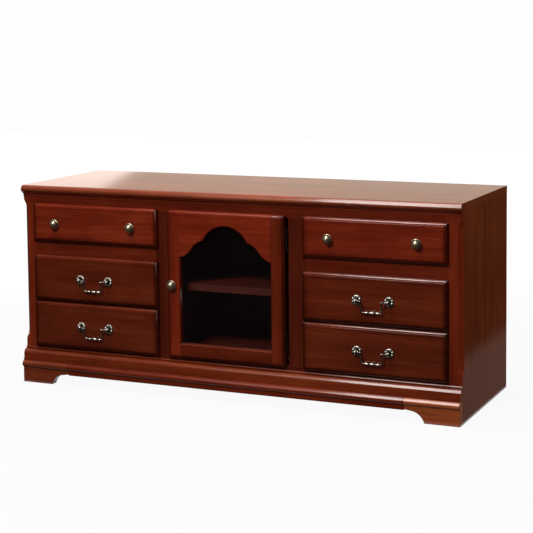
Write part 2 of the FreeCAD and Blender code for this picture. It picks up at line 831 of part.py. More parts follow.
def bail(label, x, z):
    """The swinging handle of a pull.

    An arm leaves each post along the axis and comes forward to an elbow. A beaded bow hangs from the elbows and
    leans back under the axis, so that the handle is at rest there.
    """
    arm = bent_rod("arm", "XY_Plane", [
        ("-(bail_end)", "0"),
        ("-(bail_arm)", "0"),
        ("-(bail_arm - bail_arm_run / 2)", "-(bail_elbow_reach) / 2"),
        ("-(bail_leg)", "-(bail_elbow_reach)"),
    ], {1: "-bail_arm_bend", 2: "bail_arm_bend"}, "YZ_Plane", offset="-(bail_end)")
    place(arm, x, "bail_y", z)

    foot = "bail_leg - bail_foot_bend"
    bow = bent_rod("bow", "XZ_Plane", [
        ("-(bail_leg)", "0"),
        ("-(bail_leg)", "bail_foot_bend - bail_leg_length"),
        (f"-({foot})", "-(bail_leg_length)"),
        (foot, "-(bail_leg_length)"),
        ("bail_leg", "bail_foot_bend - bail_leg_length"),
        ("bail_leg", "0"),
    ], {1: "bail_foot_bend", 3: "bail_foot_bend"}, "XY_Plane", across="-(bail_leg)")
    beads = sketch_on(bow, "XZ_Plane", "beads")
    beads.setExpression(".AttachmentOffset.Base.y", link("-(bail_leg_length)"))
    outline(beads, [
        ("-(bail_bead_length) / 2", "0"),
        ("bail_bead_length / 2", "0"),
        ("bail_bead_length / 2", "bead_edge"),
        ("-(bail_bead_length) / 2", "bead_edge"),
    ], {2: "bead_radius"})
    for centre in ("-(bail_swell_place)", "bail_swell_place"):
        near = f"{centre} - bail_swell_length / 2"
        far = f"{centre} + bail_swell_length / 2"
        outline(beads, [(near, "0"), (far, "0"), (far, "swell_edge"), (near, "swell_edge")], {2: "swell_radius"})
    revolve(bow, beads, "H_Axis")
    bow.Placement = FreeCAD.Placement(FreeCAD.Vector(), FreeCAD.Rotation(FreeCAD.Vector(1, 0, 0), 1))
    bow.setExpression(".Placement.Rotation.Angle", link("atan(bail_lean / bail_drop)"))
    place(bow, x, "bail_y - bail_elbow_reach", z)

    elbows = []
    for leg in (f"{x} - bail_leg", f"{x} + bail_leg"):
        elbow = doc.addObject("Part::Sphere", "elbow")
        elbow.setExpression("Radius", link("bail_elbow_diameter / 2"))
        elbows.append(place(elbow, leg, "bail_y - bail_elbow_reach", z))
    keep(label, fuse(bow, arm, mirrored(arm, x), *elbows))


# Drawers


def make_drawers():
    """Six drawers: knobs on the shallow top pair, bail pulls on the four deep ones."""
    rows = {
        "top": ("top_opening_bottom", "opening_top", "top_opening_height"),
        "middle": ("middle_opening_bottom", "middle_opening_top", "tall_opening_height"),
        "lower": ("deck_height", "lower_opening_top", "tall_opening_height"),
    }
    runners = []
    for hand, side in SIDES.items():
        middle_x = "bank_middle" if side > 0 else "-(bank_middle)"
        for row, (bottom, top, height) in rows.items():
            tag = f"{hand}_{row}"
            middle_z = f"({bottom} + {top}) / 2"
            front = drawer_front("bank_width", height, f"drawer_front_{tag}")
            keep(f"drawer_front_{tag}", place(front, middle_x, "lip_back", middle_z))
            drawer_box(f"drawer_box_{tag}", side, bottom, top)
            runners += drawer_runners(side, bottom, top)
            if row == "top":
                group(f"drawer_knobs_{tag}", [
                    knob(f"{middle_x} - knob_spacing / 2", middle_z),
                    knob(f"{middle_x} + knob_spacing / 2", middle_z)])
            else:
                pull_posts(f"pull_posts_{tag}", middle_x, middle_z)
                bail(f"bail_{tag}", middle_x, middle_z)
    group("drawer_runners", runners)


# Door


def make_door():
    """Glazed door: an arched top rail, a bottom rail and two stiles cut from one lipped frame outline."""
    core = ("-(stile_inner) + front_clearance", "deck_height + front_clearance",
            "door_right", "opening_top - front_clearance")
    lip = ("door_left", "door_bottom", "door_right", "door_top")
    blank = lipped_front("door_blank", core, lip)
    half_head = "arch_head_width / 2"
    light = sketch_on(blank, "XZ_Plane", "light")
    outline(light, [
        ("light_left", "light_bottom"),
        ("light_right", "light_bottom"),
        ("light_right", "arch_spring"),
        ("light_middle + arch_shoulder_x", "arch_shoulder_z"),
        (f"light_middle + {half_head}", "arch_cusp"),
        (f"light_middle - {half_head}", "arch_cusp"),
        ("light_middle - arch_shoulder_x", "arch_shoulder_z"),
        ("light_left", "arch_spring"),
    ], {2: "-arch_shoulder_radius", 3: "arch_shoulder_radius", 4: "arch_head_radius",
        5: "arch_shoulder_radius", 6: "-arch_shoulder_radius"})
    through = pocket(blank, light, "4 * front_proud", both_ways=True)
    face = through.Shape.Faces[front_face(through.Shape) - 1]
    rim = [edge for wire in face.Wires if not wire.isSame(face.OuterWire) for edge in wire.Edges]
    names = [f"Edge{number}" for number, edge in enumerate(through.Shape.Edges, start=1)
             if any(edge.isSame(other) for other in rim)]
    chamfer_edges(blank, through, names, "opening_chamfer")
    rabbet = sketch_on(blank, "XZ_Plane", "rabbet")
    rabbet.setExpression(".AttachmentOffset.Base.z", link("-(core_depth)"))
    rectangle(rabbet, "rabbet_left", "rabbet_bottom", "rabbet_right", "rabbet_top")
    pocket(blank, rabbet, "core_depth + front_proud - glass_setback", reverse=True)
    place(blank, "0", "lip_back", "0")

    depth = ("field_y", "core_back")
    tall = ("door_bottom", "door_top")
    regions = {
        "door_latch_stile": (("door_left", "light_left"), depth, tall),
        "door_hinge_stile": (("light_right", "door_right"), depth, tall),
        "door_arched_rail": (("light_left", "light_right"), depth, ("door_middle_z", "door_top")),
        "door_bottom_rail": (("light_left", "light_right"), depth, ("door_bottom", "door_middle_z")),
    }
    for label, region in regions.items():
        member = doc.addObject("Part::Common", "member")
        member.Base = blank
        member.Tool = board(*region, "region")
        keep(label, member)

    pane_x = ("rabbet_left + glass_play", "rabbet_right - glass_play")
    pane_z = ("rabbet_bottom + glass_play", "rabbet_top - glass_play")
    keep("door_glass", board(pane_x, ("glass_y", "glass_y + glass_thickness"), pane_z))
    stop_y = ("glass_y + glass_thickness", "core_back")
    stop_left = ("rabbet_left", "light_left")
    stop_right = ("light_right", "rabbet_right")
    group("glass_stops", [
        board(stop_left, stop_y, ("rabbet_bottom", "rabbet_top"), "stop"),
        board(stop_right, stop_y, ("rabbet_bottom", "rabbet_top"), "stop"),
        board(("light_left", "light_right"), stop_y, ("rabbet_bottom", "light_bottom"), "stop"),
        board(("light_left", "light_right"), stop_y, ("arch_apex", "rabbet_top"), "stop")])
    keep("door_knob", knob("door_left + door_stile_width / 2", "door_middle_z"))

    catch_z = ("catch_level - catch_height / 2", "catch_level + catch_height / 2")
    keep("door_catch", board(
        ("-(stile_inner)", "catch_width - stile_inner"),
        ("catch_front", "catch_front + catch_depth"), catch_z))
    strike_left = "-(stile_inner) + front_clearance"
    keep("catch_strike", board(
        (strike_left, f"{strike_left} + strike_width"),
        ("core_back", "core_back + strike_thickness"), catch_z))


def hinge_leaf(bottom, side, own, width):
    """One leaf of a butt hinge with its own knuckles, rolled round the pin."""
    top = f"{bottom} + hinge_height"
    near = "barrel_diameter / 2 + barrel_play - leaf_thickness"
    far = "barrel_diameter / 2 + barrel_play"
    if side > 0:
        across = (f"hinge_x + {near}", f"hinge_x + {far}")
    else:
        across = (f"hinge_x - ({far})", f"hinge_x - ({near})")
    pieces = [board(across, ("hinge_y + leaf_bend", width), (bottom, top), "leaf")]
    for index in own:
        low = f"{bottom} + {index} * hinge_height / {KNUCKLES} + knuckle_gap / 2"
        high = f"{bottom} + {index + 1} * hinge_height / {KNUCKLES} - knuckle_gap / 2"
        pieces.append(board(across, ("hinge_y", "hinge_y + leaf_bend"), (low, high), "tab"))
        start = ("hinge_x", "hinge_y", low)
        pieces.append(rod("barrel_diameter", f"({high}) - ({low})", "z", start, "knuckle"))
    start = ("hinge_x", "hinge_y", bottom)
    bore = rod("hinge_pin_diameter + 2 * hinge_pin_play", "hinge_height", "z", start, "bore")
    return cut(fuse(*pieces), bore)


def make_hinges():
    """Two butt hinges: leaves on the stile and on the door, and a loose pin in each."""
    bottoms = ("door_bottom + hinge_offset - hinge_height / 2", "door_top - hinge_offset - hinge_height / 2")
    odd = range(1, KNUCKLES, 2)
    even = range(0, KNUCKLES, 2)
    group("hinge_frame_leaves", [hinge_leaf(z, 1, even, "face_y + frame_leaf_width") for z in bottoms])
    group("hinge_door_leaves", [hinge_leaf(z, -1, odd, "core_back") for z in bottoms])
    group("hinge_pins", [
        rod("hinge_pin_diameter", "hinge_height", "z", ("hinge_x", "hinge_y", z), "pin") for z in bottoms])


def write_parts():
    """Check the finished document, then write one STEP file for each sub-part."""
    doc.recompute()
    failed = [item.Label for item in doc.Objects if {"Invalid", "Error"} & set(item.State)]
    failed += [label for label, item in parts.items() if item.Shape.isNull() or not item.Shape.isValid()]
    if failed:
        raise RuntimeError(f"not built: {failed}")
    os.makedirs("parts", exist_ok=True)
    for label, item in parts.items():
        item.Shape.exportStep(os.path.join("parts", f"{label}.step"))
    print(f"{len(parts)} sub-parts, {sum(len(item.Shape.Solids) for item in parts.values())} solids")


make_mouldings()
make_posts()
make_frame()
make_case()
make_drawers()
make_door()
make_hinges()
write_parts()
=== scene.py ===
import json
import logging
import math
from collections.abc import Callable
from dataclasses import dataclass, field, replace
from enum import Enum

import bmesh
import bpy
from bpy.types import Material, Mesh, Node, NodeSocket, NodeTree, Object, Scene
from mathutils import Matrix, Vector


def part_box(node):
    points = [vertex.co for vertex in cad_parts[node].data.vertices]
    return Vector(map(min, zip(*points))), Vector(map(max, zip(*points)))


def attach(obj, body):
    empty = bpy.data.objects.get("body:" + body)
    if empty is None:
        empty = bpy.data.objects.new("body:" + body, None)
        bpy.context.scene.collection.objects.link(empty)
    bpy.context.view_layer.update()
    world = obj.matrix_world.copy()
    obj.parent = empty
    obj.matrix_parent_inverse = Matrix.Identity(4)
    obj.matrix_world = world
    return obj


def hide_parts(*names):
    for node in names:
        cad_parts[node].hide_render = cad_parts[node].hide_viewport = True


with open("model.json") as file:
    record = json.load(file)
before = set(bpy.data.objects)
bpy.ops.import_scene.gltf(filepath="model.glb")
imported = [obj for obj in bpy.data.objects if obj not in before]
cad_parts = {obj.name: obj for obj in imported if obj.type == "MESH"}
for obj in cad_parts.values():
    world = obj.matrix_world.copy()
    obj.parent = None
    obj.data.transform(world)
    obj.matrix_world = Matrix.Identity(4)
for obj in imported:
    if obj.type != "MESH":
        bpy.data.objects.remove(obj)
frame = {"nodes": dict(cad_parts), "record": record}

# Traditional television stand in glossy cherry, dressed for its portrait.
# Metres, in the frame of the solids.

Colour = tuple[float, float, float]
Point = tuple[float, float, float]
Span = tuple[float, float]
Feed = NodeSocket | Material | bool | float | str | tuple
Feeds = dict[str | int, Feed]
Spots = list[tuple[Vector, Vector]]

LOG = logging.getLogger("tv_stand")
BODY_OF = {node: body for body, nodes in frame["record"]["behaviour"]["bodies"].items()
           for node in nodes}
HANDS = ("left", "right")
ROWS = ("top", "middle", "lower")
ZEROS = (0.0, 0.0, 0.0)
ONES = (1.0, 1.0, 1.0)
FALL = (1.0, 0.0)

# Copies of the solids: points nearer than the merge distance become one, faces that turn less
# than the flat angle are joined, and edges that turn more than a crease angle stay sharp.
MERGE_DISTANCE = 2e-6
FLAT_ANGLE = math.radians(0.2)
BOARD_CREASE = math.radians(35.0)
CURVE_CREASE = math.radians(32.0)
LONG_EDGE = 0.006

# Hollows: the sum of angles round a point that makes it wholly hollow, the share of it that its
# neighbours take over, and how often they do.
FULL_HOLLOW = 1.2
HOLLOW_SHARE = 0.7
HOLLOW_ROUNDS = 2


class Grain(Enum):
    """The way the grain of a board runs."""

    LONG = 0
    DEEP = 1
    TALL = 2

    def drawn_out(self, factor: float) -> Point:
        """Factors on the three axes that draw a pattern out along the grain."""
        return tuple(factor if axis == self.value else 1.0 for axis in range(3))


@dataclass(frozen=True)
class Layer:
    """One layer of soft noise, with its features per metre and its share in the tone."""

    scale: float
    detail: float
    roughness: float
    share: float = 1.0


STREAKS = Layer(30.0, 5.0, 0.6, 0.40)
FINE_STREAKS = Layer(190.0, 3.0, 0.6, 0.26)
FIBRES = Layer(760.0, 2.0, 0.5, 0.10)
MOTTLE = Layer(5.0, 3.0, 0.5, 0.24)
PORES = Layer(1500.0, 1.0, 0.4)
METAL_CLOUDS = Layer(160.0, 4.0, 0.6)
METAL_GRIT = Layer(900.0, 3.0, 0.6)
SMEARS = Layer(14.0, 4.0, 0.6)
PLAIN_CLOUDS = Layer(60.0, 3.0, 0.5)
SPECKLES = Layer(1200.0, 2.0, 0.5)


class NodeBench:
    """Adds and joins the nodes of one tree."""

    def __init__(self, tree: NodeTree) -> None:
        """Take a tree and empty it."""
        self.tree = tree
        tree.nodes.clear()

    def add(self, kind: str, feeds: Feeds | None = None, **settings: str) -> Node:
        """Add one node.

        Args:
            kind: The node's type name.
            feeds: What its inputs get, by their names or numbers.
            settings: Properties that are set on it first.

        Returns:
            The new node.
        """
        node = self.tree.nodes.new(kind)
        for name, setting in settings.items():
            setattr(node, name, setting)
        for key, source in (feeds or {}).items():
            self.feed(node.inputs[key], source)
        return node

    def feed(self, target: NodeSocket, source: Feed) -> None:
        """Link a socket to another one, or set it.

        Args:
            target: The input to feed.
            source: An output socket, or a plain value.
        """
        if isinstance(source, NodeSocket):
            self.tree.links.new(source, target)
        elif isinstance(source, tuple) and len(source) == 3 and target.type == "RGBA":
            target.default_value = (*source, 1.0)
        else:
            target.default_value = source

    def out(self, kind: str, feeds: Feeds, output: str | int = 0, **settings: str) -> NodeSocket:
        """Add one node and give one of its outputs."""
        return self.add(kind, feeds, **settings).outputs[output]

    def mapped(self, scale: Point = ONES, shift: Point = ZEROS) -> NodeSocket:
        """Object coordinates, stretched and shifted on each axis."""
        place = self.add("ShaderNodeTexCoord").outputs["Object"]
        return self.out("ShaderNodeMapping", {"Vector": place, "Scale": scale, "Location": shift})

    def noise(self, place: Feed, layer: Layer) -> NodeSocket:
        """Soft random variation around one half."""
        return self.out("ShaderNodeTexNoise", {
            "Vector": place, "Scale": layer.scale, "Detail": layer.detail,
            "Roughness": layer.roughness})

    def math(self, operation: str, first: Feed, second: Feed) -> NodeSocket:
        """One sum of two values, by Blender's name of the operation."""
        return self.out("ShaderNodeMath", {0: first, 1: second}, operation=operation)

    def plus(self, base: Feed, value: Feed, share: float) -> NodeSocket:
        """A value with a share of another one added to it."""
        return self.math("ADD", base, self.math("MULTIPLY", value, share))

    def spread(self, factor: Feed, step: Span, values: Span) -> NodeSocket:
        """A smooth step over a span of the factor, from the first value to the second."""
        feeds = dict(enumerate((factor, *step, *values)))
        return self.out("ShaderNodeMapRange", feeds, interpolation_type="SMOOTHSTEP")

    def ramp(self, factor: Feed, stops: list[tuple[float, Colour]]) -> NodeSocket:
        """Colour by a value.

        Args:
            factor: The value.
            stops: Positions and colours.

        Returns:
            The colour.
        """
        node = self.add("ShaderNodeValToRGB", {0: factor})
        elements = node.color_ramp.elements
        while len(elements) < len(stops):
            elements.new(0.5)
        for element, (position, colour) in zip(elements, stops):
            element.position = position
            element.color = (*colour, 1.0)
        return node.outputs[0]

    def mix(self, factor: Feed, first: Feed, second: Feed, blend: str = "MIX") -> NodeSocket:
        """Two colours mixed, by the share of the second and Blender's blend type."""
        feeds = {0: factor, 6: first, 7: second}
        return self.out("ShaderNodeMix", feeds, 2, data_type="RGBA", blend_type=blend)

    def bump(self, height: Feed, strength: float, distance: float) -> NodeSocket:
        """A bumped normal, from a height, the share of its effect and its depth."""
        return self.out(
            "ShaderNodeBump", {"Height": height, "Strength": strength, "Distance": distance})

    def surface(self, feeds: Feeds) -> None:
        """A principled surface joined to the output."""
        shader = self.add("ShaderNodeBsdfPrincipled", feeds)
        self.add("ShaderNodeOutputMaterial", {"Surface": shader.outputs["BSDF"]})

    def seen(self) -> NodeSocket:
        """Tell which rays show the background, to the eye, in a reflection or through glass.

        Returns:
            One for such rays, zero for the others.
        """
        rays = self.add("ShaderNodeLightPath").outputs
        shown = self.math("MAXIMUM", rays["Is Camera Ray"], rays["Is Glossy Ray"])
        return self.math("MAXIMUM", shown, rays["Is Transmission Ray"])

    def blend(self, factor: Feed, first: Node, second: Node, output: str) -> None:
        """Two shaders mixed, by the share of the second, and joined to an output of one type."""
        mixed = self.out(
            "ShaderNodeMixShader", {0: factor, 1: first.outputs[0], 2: second.outputs[0]})
        self.add(output, {"Surface": mixed})


def made_once(name: str, fill: Callable[[NodeBench], None]) -> Material:
    """A node material, made when it is first asked for.

    Args:
        name: The material's name.
        fill: Adds its nodes to an empty tree.

    Returns:
        The material.
    """
    known = bpy.data.materials.get(name)
    if known:
        return known
    material = bpy.data.materials.new(name)
    material.use_nodes = True
    fill(NodeBench(material.node_tree))
    return material


# Finishes


@dataclass(frozen=True)
class Finish:
    """A finish for one material slot."""

    name: str
    slot: str

    def material(self) -> Material:
        """The finish as a material, made once."""
        return made_once(self.name, self.fill)

    def fill(self, bench: NodeBench) -> None:
        """Add the nodes of the finish to an empty tree."""
        raise NotImplementedError


@dataclass(frozen=True)
class Panel:
    """Box of a drawer front or door, whose stain is darkened towards its border as painted shade,
    with a painted highlight on its upper lip.
    """

    name: str
    low: Vector
    high: Vector
    # Own tone of the box, which also carries painted light and shade from where the box sits.
    tone: Colour
    # Painted shade: the stain darkens over this reach towards the border, and within the rim on the
    # sides and bottom.
    border: Span = (0.010, 0.034)
    raggedness: float = 0.016
    edge_shade: Colour = (0.60, 0.54, 0.50)
    rim: Span = (0.009, 0.013)
    rim_shade: Colour = (0.55, 0.48, 0.45)
    # Painted highlight: the upper lip is lightened as if lit from above.
    lip_highlight: Colour = (2.0, 2.1, 2.2)

    def with_painted_light(self, bench: NodeBench, colour: Feed, ragged: Feed) -> NodeSocket:
        """The stain with its own tone, painted shade towards the border and on the side and bottom
        rims, and a painted highlight on the upper lip.

        Args:
            bench: The tree to add to.
            colour: The plain stain.
            ragged: Soft noise that makes the border uneven.

        Returns:
            The stain with its painted light and shade.
        """
        axes = bench.add("ShaderNodeSeparateXYZ", {0: bench.mapped()})
        across, up = axes.outputs["X"], axes.outputs["Z"]
        side = bench.math("SUBTRACT", up, self.low.z)
        for gap in (bench.math("SUBTRACT", across, self.low.x),
                    bench.math("SUBTRACT", self.high.x, across)):
            side = bench.math("MINIMUM", side, gap)
        top = bench.math("SUBTRACT", self.high.z, up)
        near = bench.plus(bench.math("MINIMUM", side, top), ragged, self.raggedness)
        # Painted shade towards the border.
        share = bench.spread(near, self.border, FALL)
        dark = tuple(tone * edge_shade for tone, edge_shade in zip(self.tone, self.edge_shade))
        colour = bench.mix(1.0, colour, bench.mix(share, self.tone, dark), "MULTIPLY")
        # Painted shade on the side and bottom rims; painted highlight on the upper lip.
        rim = bench.spread(side, self.rim, FALL)
        lip = bench.math("SUBTRACT", bench.spread(top, self.rim, FALL), rim)
        lip = bench.math("MAXIMUM", lip, 0.0)
        colour = bench.mix(lip, colour, self.lip_highlight, "MULTIPLY")
        return bench.mix(rim, colour, self.rim_shade, "MULTIPLY")


@dataclass(frozen=True)
class WoodFinish:
    """Stained wood under lacquer, from its darkest to its lightest tone."""

    name: str
    slot: str
    dark: Colour
    middle: Colour
    light: Colour
    roughness: float
    specular: float
    lacquer: float = 0.0
    lacquer_roughness: float = 0.12
    uneven_gloss: Span = (-0.04, 0.05)
    gloss_step: Span = (0.3, 0.7)
    streaks: Layer = STREAKS
    streak_length: float = 0.07
    streak_shift: Point = (0.31, 0.17, 0.23)
    fibre_length: float = 0.025
    fibre_shift: Point = (1.7, 0.9, 2.3)
    tone_reach: float = 0.16
    pore_tone: Colour = (0.45, 0.40, 0.40)
    pore_step: Span = (0.60, 0.72)
    pore_share: float = 0.45
    relief: Span = (0.10, 0.0002)

    def material(self, grain: Grain, panel: Panel | None = None) -> Material:
        """The finish with its grain along one axis.

        Args:
            grain: Axis of the grain.
            panel: Box whose stain gets painted shade at its border and a painted highlight on its
                lip, if any.

        Returns:
            A material, made once for each axis and box.
        """
        name = f"{self.name}_{grain.name.lower()}"
        if panel:
            name = f"{name}_{panel.name}"
        return made_once(name, lambda bench: self.fill(bench, grain, panel))

    def fill(self, bench: NodeBench, grain: Grain, panel: Panel | None) -> None:
        """Add the nodes of the finish.

        Args:
            bench: The tree to add to.
            grain: Axis of the grain.
            panel: Box whose stain gets painted shade at its border and a painted highlight on its
                lip, if any.
        """
        place = bench.mapped(grain.drawn_out(self.streak_length), self.streak_shift)
        fine_place = bench.mapped(grain.drawn_out(self.fibre_length), self.fibre_shift)
        fine = bench.noise(fine_place, FINE_STREAKS)
        mottle = bench.noise(bench.mapped(), MOTTLE)
        tone = bench.math("MULTIPLY", bench.noise(place, self.streaks), self.streaks.share)
        for value, layer in ((fine, FINE_STREAKS), (bench.noise(fine_place, FIBRES), FIBRES),
                             (mottle, MOTTLE)):
            tone = bench.plus(tone, value, layer.share)
        colour = bench.ramp(tone, [
            (0.5 - self.tone_reach, self.dark), (0.5, self.middle),
            (0.5 + self.tone_reach, self.light)])
        # Painted shade at the box's border and rims, and a painted highlight on its upper lip.
        if panel:
            colour = panel.with_painted_light(bench, colour, mottle)
        pores = bench.noise(fine_place, PORES)
        pore = bench.spread(pores, self.pore_step, (0.0, self.pore_share))
        gloss = tuple(self.roughness + change for change in self.uneven_gloss)
        bench.surface({
            "Base Color": bench.mix(pore, colour, self.pore_tone, "MULTIPLY"),
            "Roughness": bench.spread(mottle, self.gloss_step, gloss),
            "Specular IOR Level": self.specular,
            "Coat Weight": self.lacquer,
            "Coat Roughness": self.lacquer_roughness,
            "Normal": bench.bump(bench.math("SUBTRACT", fine, pore), *self.relief)})


@dataclass(frozen=True)
class MetalFinish(Finish):
    """Aged metal: bright where it is handled, dark in its creases."""

    bright: Colour
    dull: Colour
    dark: Colour
    roughness: float
    metallic: float = 1.0
    cloud_stops: Span = (0.35, 0.65)
    grit_in_tarnish: float = 0.25
    tarnish_step: Span = (0.25, 0.75)
    grit_roughness: float = 0.12
    tarnish_roughness: float = 0.18
    relief: Span = (0.06, 0.0001)

    def fill(self, bench: NodeBench) -> None:
        """Add the nodes of the finish.

        Args:
            bench: The tree to add to.
        """
        place = bench.mapped()
        grit = bench.noise(place, METAL_GRIT)
        crease = bench.add("ShaderNodeAttribute", attribute_name="crease").outputs["Fac"]
        clean = bench.ramp(bench.noise(place, METAL_CLOUDS),
                           list(zip(self.cloud_stops, (self.dull, self.bright))))
        tarnish = bench.plus(crease, grit, self.grit_in_tarnish)
        tarnish = bench.spread(tarnish, self.tarnish_step, (0.0, 1.0))
        rough = bench.plus(self.roughness - self.grit_roughness / 2, grit, self.grit_roughness)
        rough = bench.plus(rough, tarnish, self.tarnish_roughness)
        bench.surface({
            "Base Color": bench.mix(tarnish, clean, self.dark), "Metallic": self.metallic,
            "Roughness": rough, "Normal": bench.bump(grit, *self.relief)})


@dataclass(frozen=True)
class GlassFinish(Finish):
    """A clear pane with a faint cast and a few smears."""

    cast: Colour
    specular: float = 0.5
    smear_stretch: Point = (1.0, 1.0, 0.4)
    gloss_step: Span = (0.45, 0.75)
    roughness: Span = (0.02, 0.09)
    veil_step: Span = (0.4, 0.8)
    veil: Span = (0.10, 0.14)

    def fill(self, bench: NodeBench) -> None:
        """Add the nodes of the finish."""
        smear = bench.noise(bench.mapped(self.smear_stretch), SMEARS)
        bench.surface({
            "Base Color": self.cast, "Specular IOR Level": self.specular,
            "Roughness": bench.spread(smear, self.gloss_step, self.roughness),
            "Alpha": bench.spread(smear, self.veil_step, self.veil)})


@dataclass(frozen=True)
class PlainFinish(Finish):
    """A matt moulded surface or plain metal with a fine texture."""

    base: Colour
    other: Colour
    roughness: float
    metallic: float = 0.0
    cloud_stops: Span = (0.35, 0.65)
    speckle_roughness: float = 0.2
    relief: Span = (0.15, 0.0001)

    def fill(self, bench: NodeBench) -> None:
        """Add the nodes of the finish.

        Args:
            bench: The tree to add to.
        """
        place = bench.mapped()
        speckle = bench.noise(place, SPECKLES)
        colour = bench.ramp(bench.noise(place, PLAIN_CLOUDS),
                            list(zip(self.cloud_stops, (self.base, self.other))))
        low = self.roughness - self.speckle_roughness / 2
        rough = bench.plus(low, speckle, self.speckle_roughness)
        bench.surface({
            "Base Color": colour, "Roughness": rough, "Metallic": self.metallic,
            "Normal": bench.bump(speckle, *self.relief)})


CHERRY = WoodFinish(
    "cherry", "cherry_wood", dark=(0.060, 0.0058, 0.0019), middle=(0.115, 0.0132, 0.0040),
    light=(0.180, 0.0258, 0.0080), roughness=0.5, specular=0.0, lacquer=0.85)
TOP = replace(
    CHERRY, name="cherry_top", dark=(0.068, 0.0112, 0.0040), middle=(0.124, 0.0232, 0.0082),
    light=(0.188, 0.0400, 0.0145))
# Darker copy of the cherry for the stiles and bottom rail, set back behind the drawer lips: painted
# shade.
SHADED_FRAME = replace(
    CHERRY, name="cherry_frame", dark=(0.029, 0.0030, 0.0013), middle=(0.055, 0.0069, 0.0028),
    light=(0.088, 0.0135, 0.0056))
# Darker copy of the cherry for the recessed rails and the cornice's cove: painted shade.
SHADED_RAIL = replace(
    CHERRY, name="cherry_rail", dark=(0.050, 0.0050, 0.0019), middle=(0.095, 0.0112, 0.0038),
    light=(0.150, 0.0218, 0.0076))
SIDE = replace(
    CHERRY, name="cherry_side", dark=(0.060, 0.0074, 0.0021), middle=(0.115, 0.0168, 0.0044),
    light=(0.180, 0.0320, 0.0088))
# Lighter, more orange copies of the cherry for the feet: painted bounce light from the floor,
# stronger on the right foot.
LIT_FOOT = replace(
    CHERRY, name="cherry_foot", dark=(0.145, 0.0320, 0.0100), middle=(0.260, 0.0600, 0.0180),
    light=(0.380, 0.0950, 0.0300))
LIT_LEFT_FOOT = replace(
    CHERRY, name="cherry_foot_left", dark=(0.070, 0.0110, 0.0034),
    middle=(0.125, 0.0215, 0.0070), light=(0.190, 0.0370, 0.0120))
CHERRY_EDGE = replace(
    CHERRY, name="cherry_edge", dark=(0.033, 0.0032, 0.0009), middle=(0.066, 0.0072, 0.0018),
    light=(0.112, 0.0142, 0.0038), lacquer=0.35)
INSIDE = WoodFinish(
    "inside_cherry", "inside_wood", dark=(0.045, 0.0058, 0.0026),
    middle=(0.080, 0.0115, 0.0050), light=(0.120, 0.0200, 0.0080),
    roughness=0.45, specular=0.25)
BOX_WOOD = WoodFinish(
    "drawer_box_wood", "box_wood", dark=(0.26, 0.145, 0.065), middle=(0.39, 0.23, 0.11),
    light=(0.50, 0.32, 0.17), roughness=0.55, specular=0.35,
    streaks=replace(STREAKS, scale=22.0))
BACK_BOARD = WoodFinish(
    "back_board", "back_board", dark=(0.065, 0.028, 0.013), middle=(0.105, 0.048, 0.023),
    light=(0.150, 0.073, 0.037), roughness=0.62, specular=0.3,
    streaks=replace(STREAKS, scale=16.0))
BRASS = MetalFinish(
    "handled_brass", "aged_brass", bright=(0.40, 0.385, 0.340), dull=(0.24, 0.23, 0.195),
    dark=(0.012, 0.010, 0.009), roughness=0.35)
KNOB = MetalFinish(
    "turned_brass", "aged_brass", bright=(0.44, 0.39, 0.28), dull=(0.30, 0.26, 0.18),
    dark=(0.014, 0.011, 0.008), roughness=0.30, metallic=0.86)
BRONZE = MetalFinish(
    "blackened_bronze", "dark_bronze", bright=(0.050, 0.038, 0.028), dull=(0.030, 0.023, 0.018),
    dark=(0.010, 0.008, 0.007), roughness=0.36)
STEEL = PlainFinish(
    "plain_steel", "steel", (0.42, 0.42, 0.43), (0.52, 0.52, 0.52), roughness=0.34, metallic=1.0)
SCREW = PlainFinish(
    "screw_steel", "steel", (0.30, 0.27, 0.22), (0.40, 0.37, 0.31), roughness=0.35, metallic=1.0)
# Near-black bars in the screw heads: painted shade for the cross recess.
RECESS_SHADE = PlainFinish(
    "screw_recess_shade", "steel", (0.012, 0.011, 0.010), (0.020, 0.018, 0.016), roughness=0.6)
PLASTIC = PlainFinish(
    "black_plastic", "catch_plastic", (0.012, 0.010, 0.009), (0.018, 0.015, 0.013),
    roughness=0.5)
GLASS = GlassFinish("pane_glass", "clear_glass", (0.012, 0.008, 0.010))


# Copies of the solids with eased edges


def merged_form(node: str, crease: float) -> Mesh:
    """A copy of a solid's mesh with its triangles joined and its curves smooth.

    Args:
        node: Name of the solid.
        crease: Angle above which an edge stays sharp.

    Returns:
        The new mesh.
    """
    form = bmesh.new()
    form.from_mesh(frame["nodes"][node].data)
    bmesh.ops.remove_doubles(form, verts=form.verts, dist=MERGE_DISTANCE)
    bmesh.ops.dissolve_limit(form, angle_limit=FLAT_ANGLE, verts=form.verts, edges=form.edges)
    for face in form.faces:
        face.smooth = True
    for edge in form.edges:
        edge.smooth = edge.calc_face_angle(0.0) < crease
    mesh = bpy.data.meshes.new(f"{node}_form")
    form.to_mesh(mesh)
    form.free()
    return mesh


def linked(name: str, mesh: Mesh) -> Object:
    """Put a mesh in the scene, at the origin.

    Args:
        name: Name of the piece.
        mesh: Its mesh.

    Returns:
        The piece.
    """
    piece = bpy.data.objects.new(name, mesh)
    bpy.context.scene.collection.objects.link(piece)
    return piece


def sheet(name: str, corners: list[Point], material: Material) -> Object:
    """Put a flat four-cornered sheet in the scene.

    Args:
        name: Name of the sheet.
        corners: Its corners in turn.
        material: Its material.

    Returns:
        The sheet.
    """
    mesh = bpy.data.meshes.new(name)
    mesh.from_pydata(corners, [], [(0, 1, 2, 3)])
    mesh.materials.append(material)
    return linked(name, mesh)


def baked(source: Object) -> Mesh:
    """The plain mesh that an object with modifiers gives."""
    evaluated = source.evaluated_get(bpy.context.evaluated_depsgraph_get())
    return bpy.data.meshes.new_from_object(evaluated)


def stand_for(piece: Object, node: str) -> None:
    """Let a piece stand for a solid.

    Args:
        piece: The finished piece.
        node: The solid that it replaces.
    """
    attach(piece, BODY_OF[node])
    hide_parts(node)
    LOG.info("%s: %d faces", piece.name, len(piece.data.polygons))


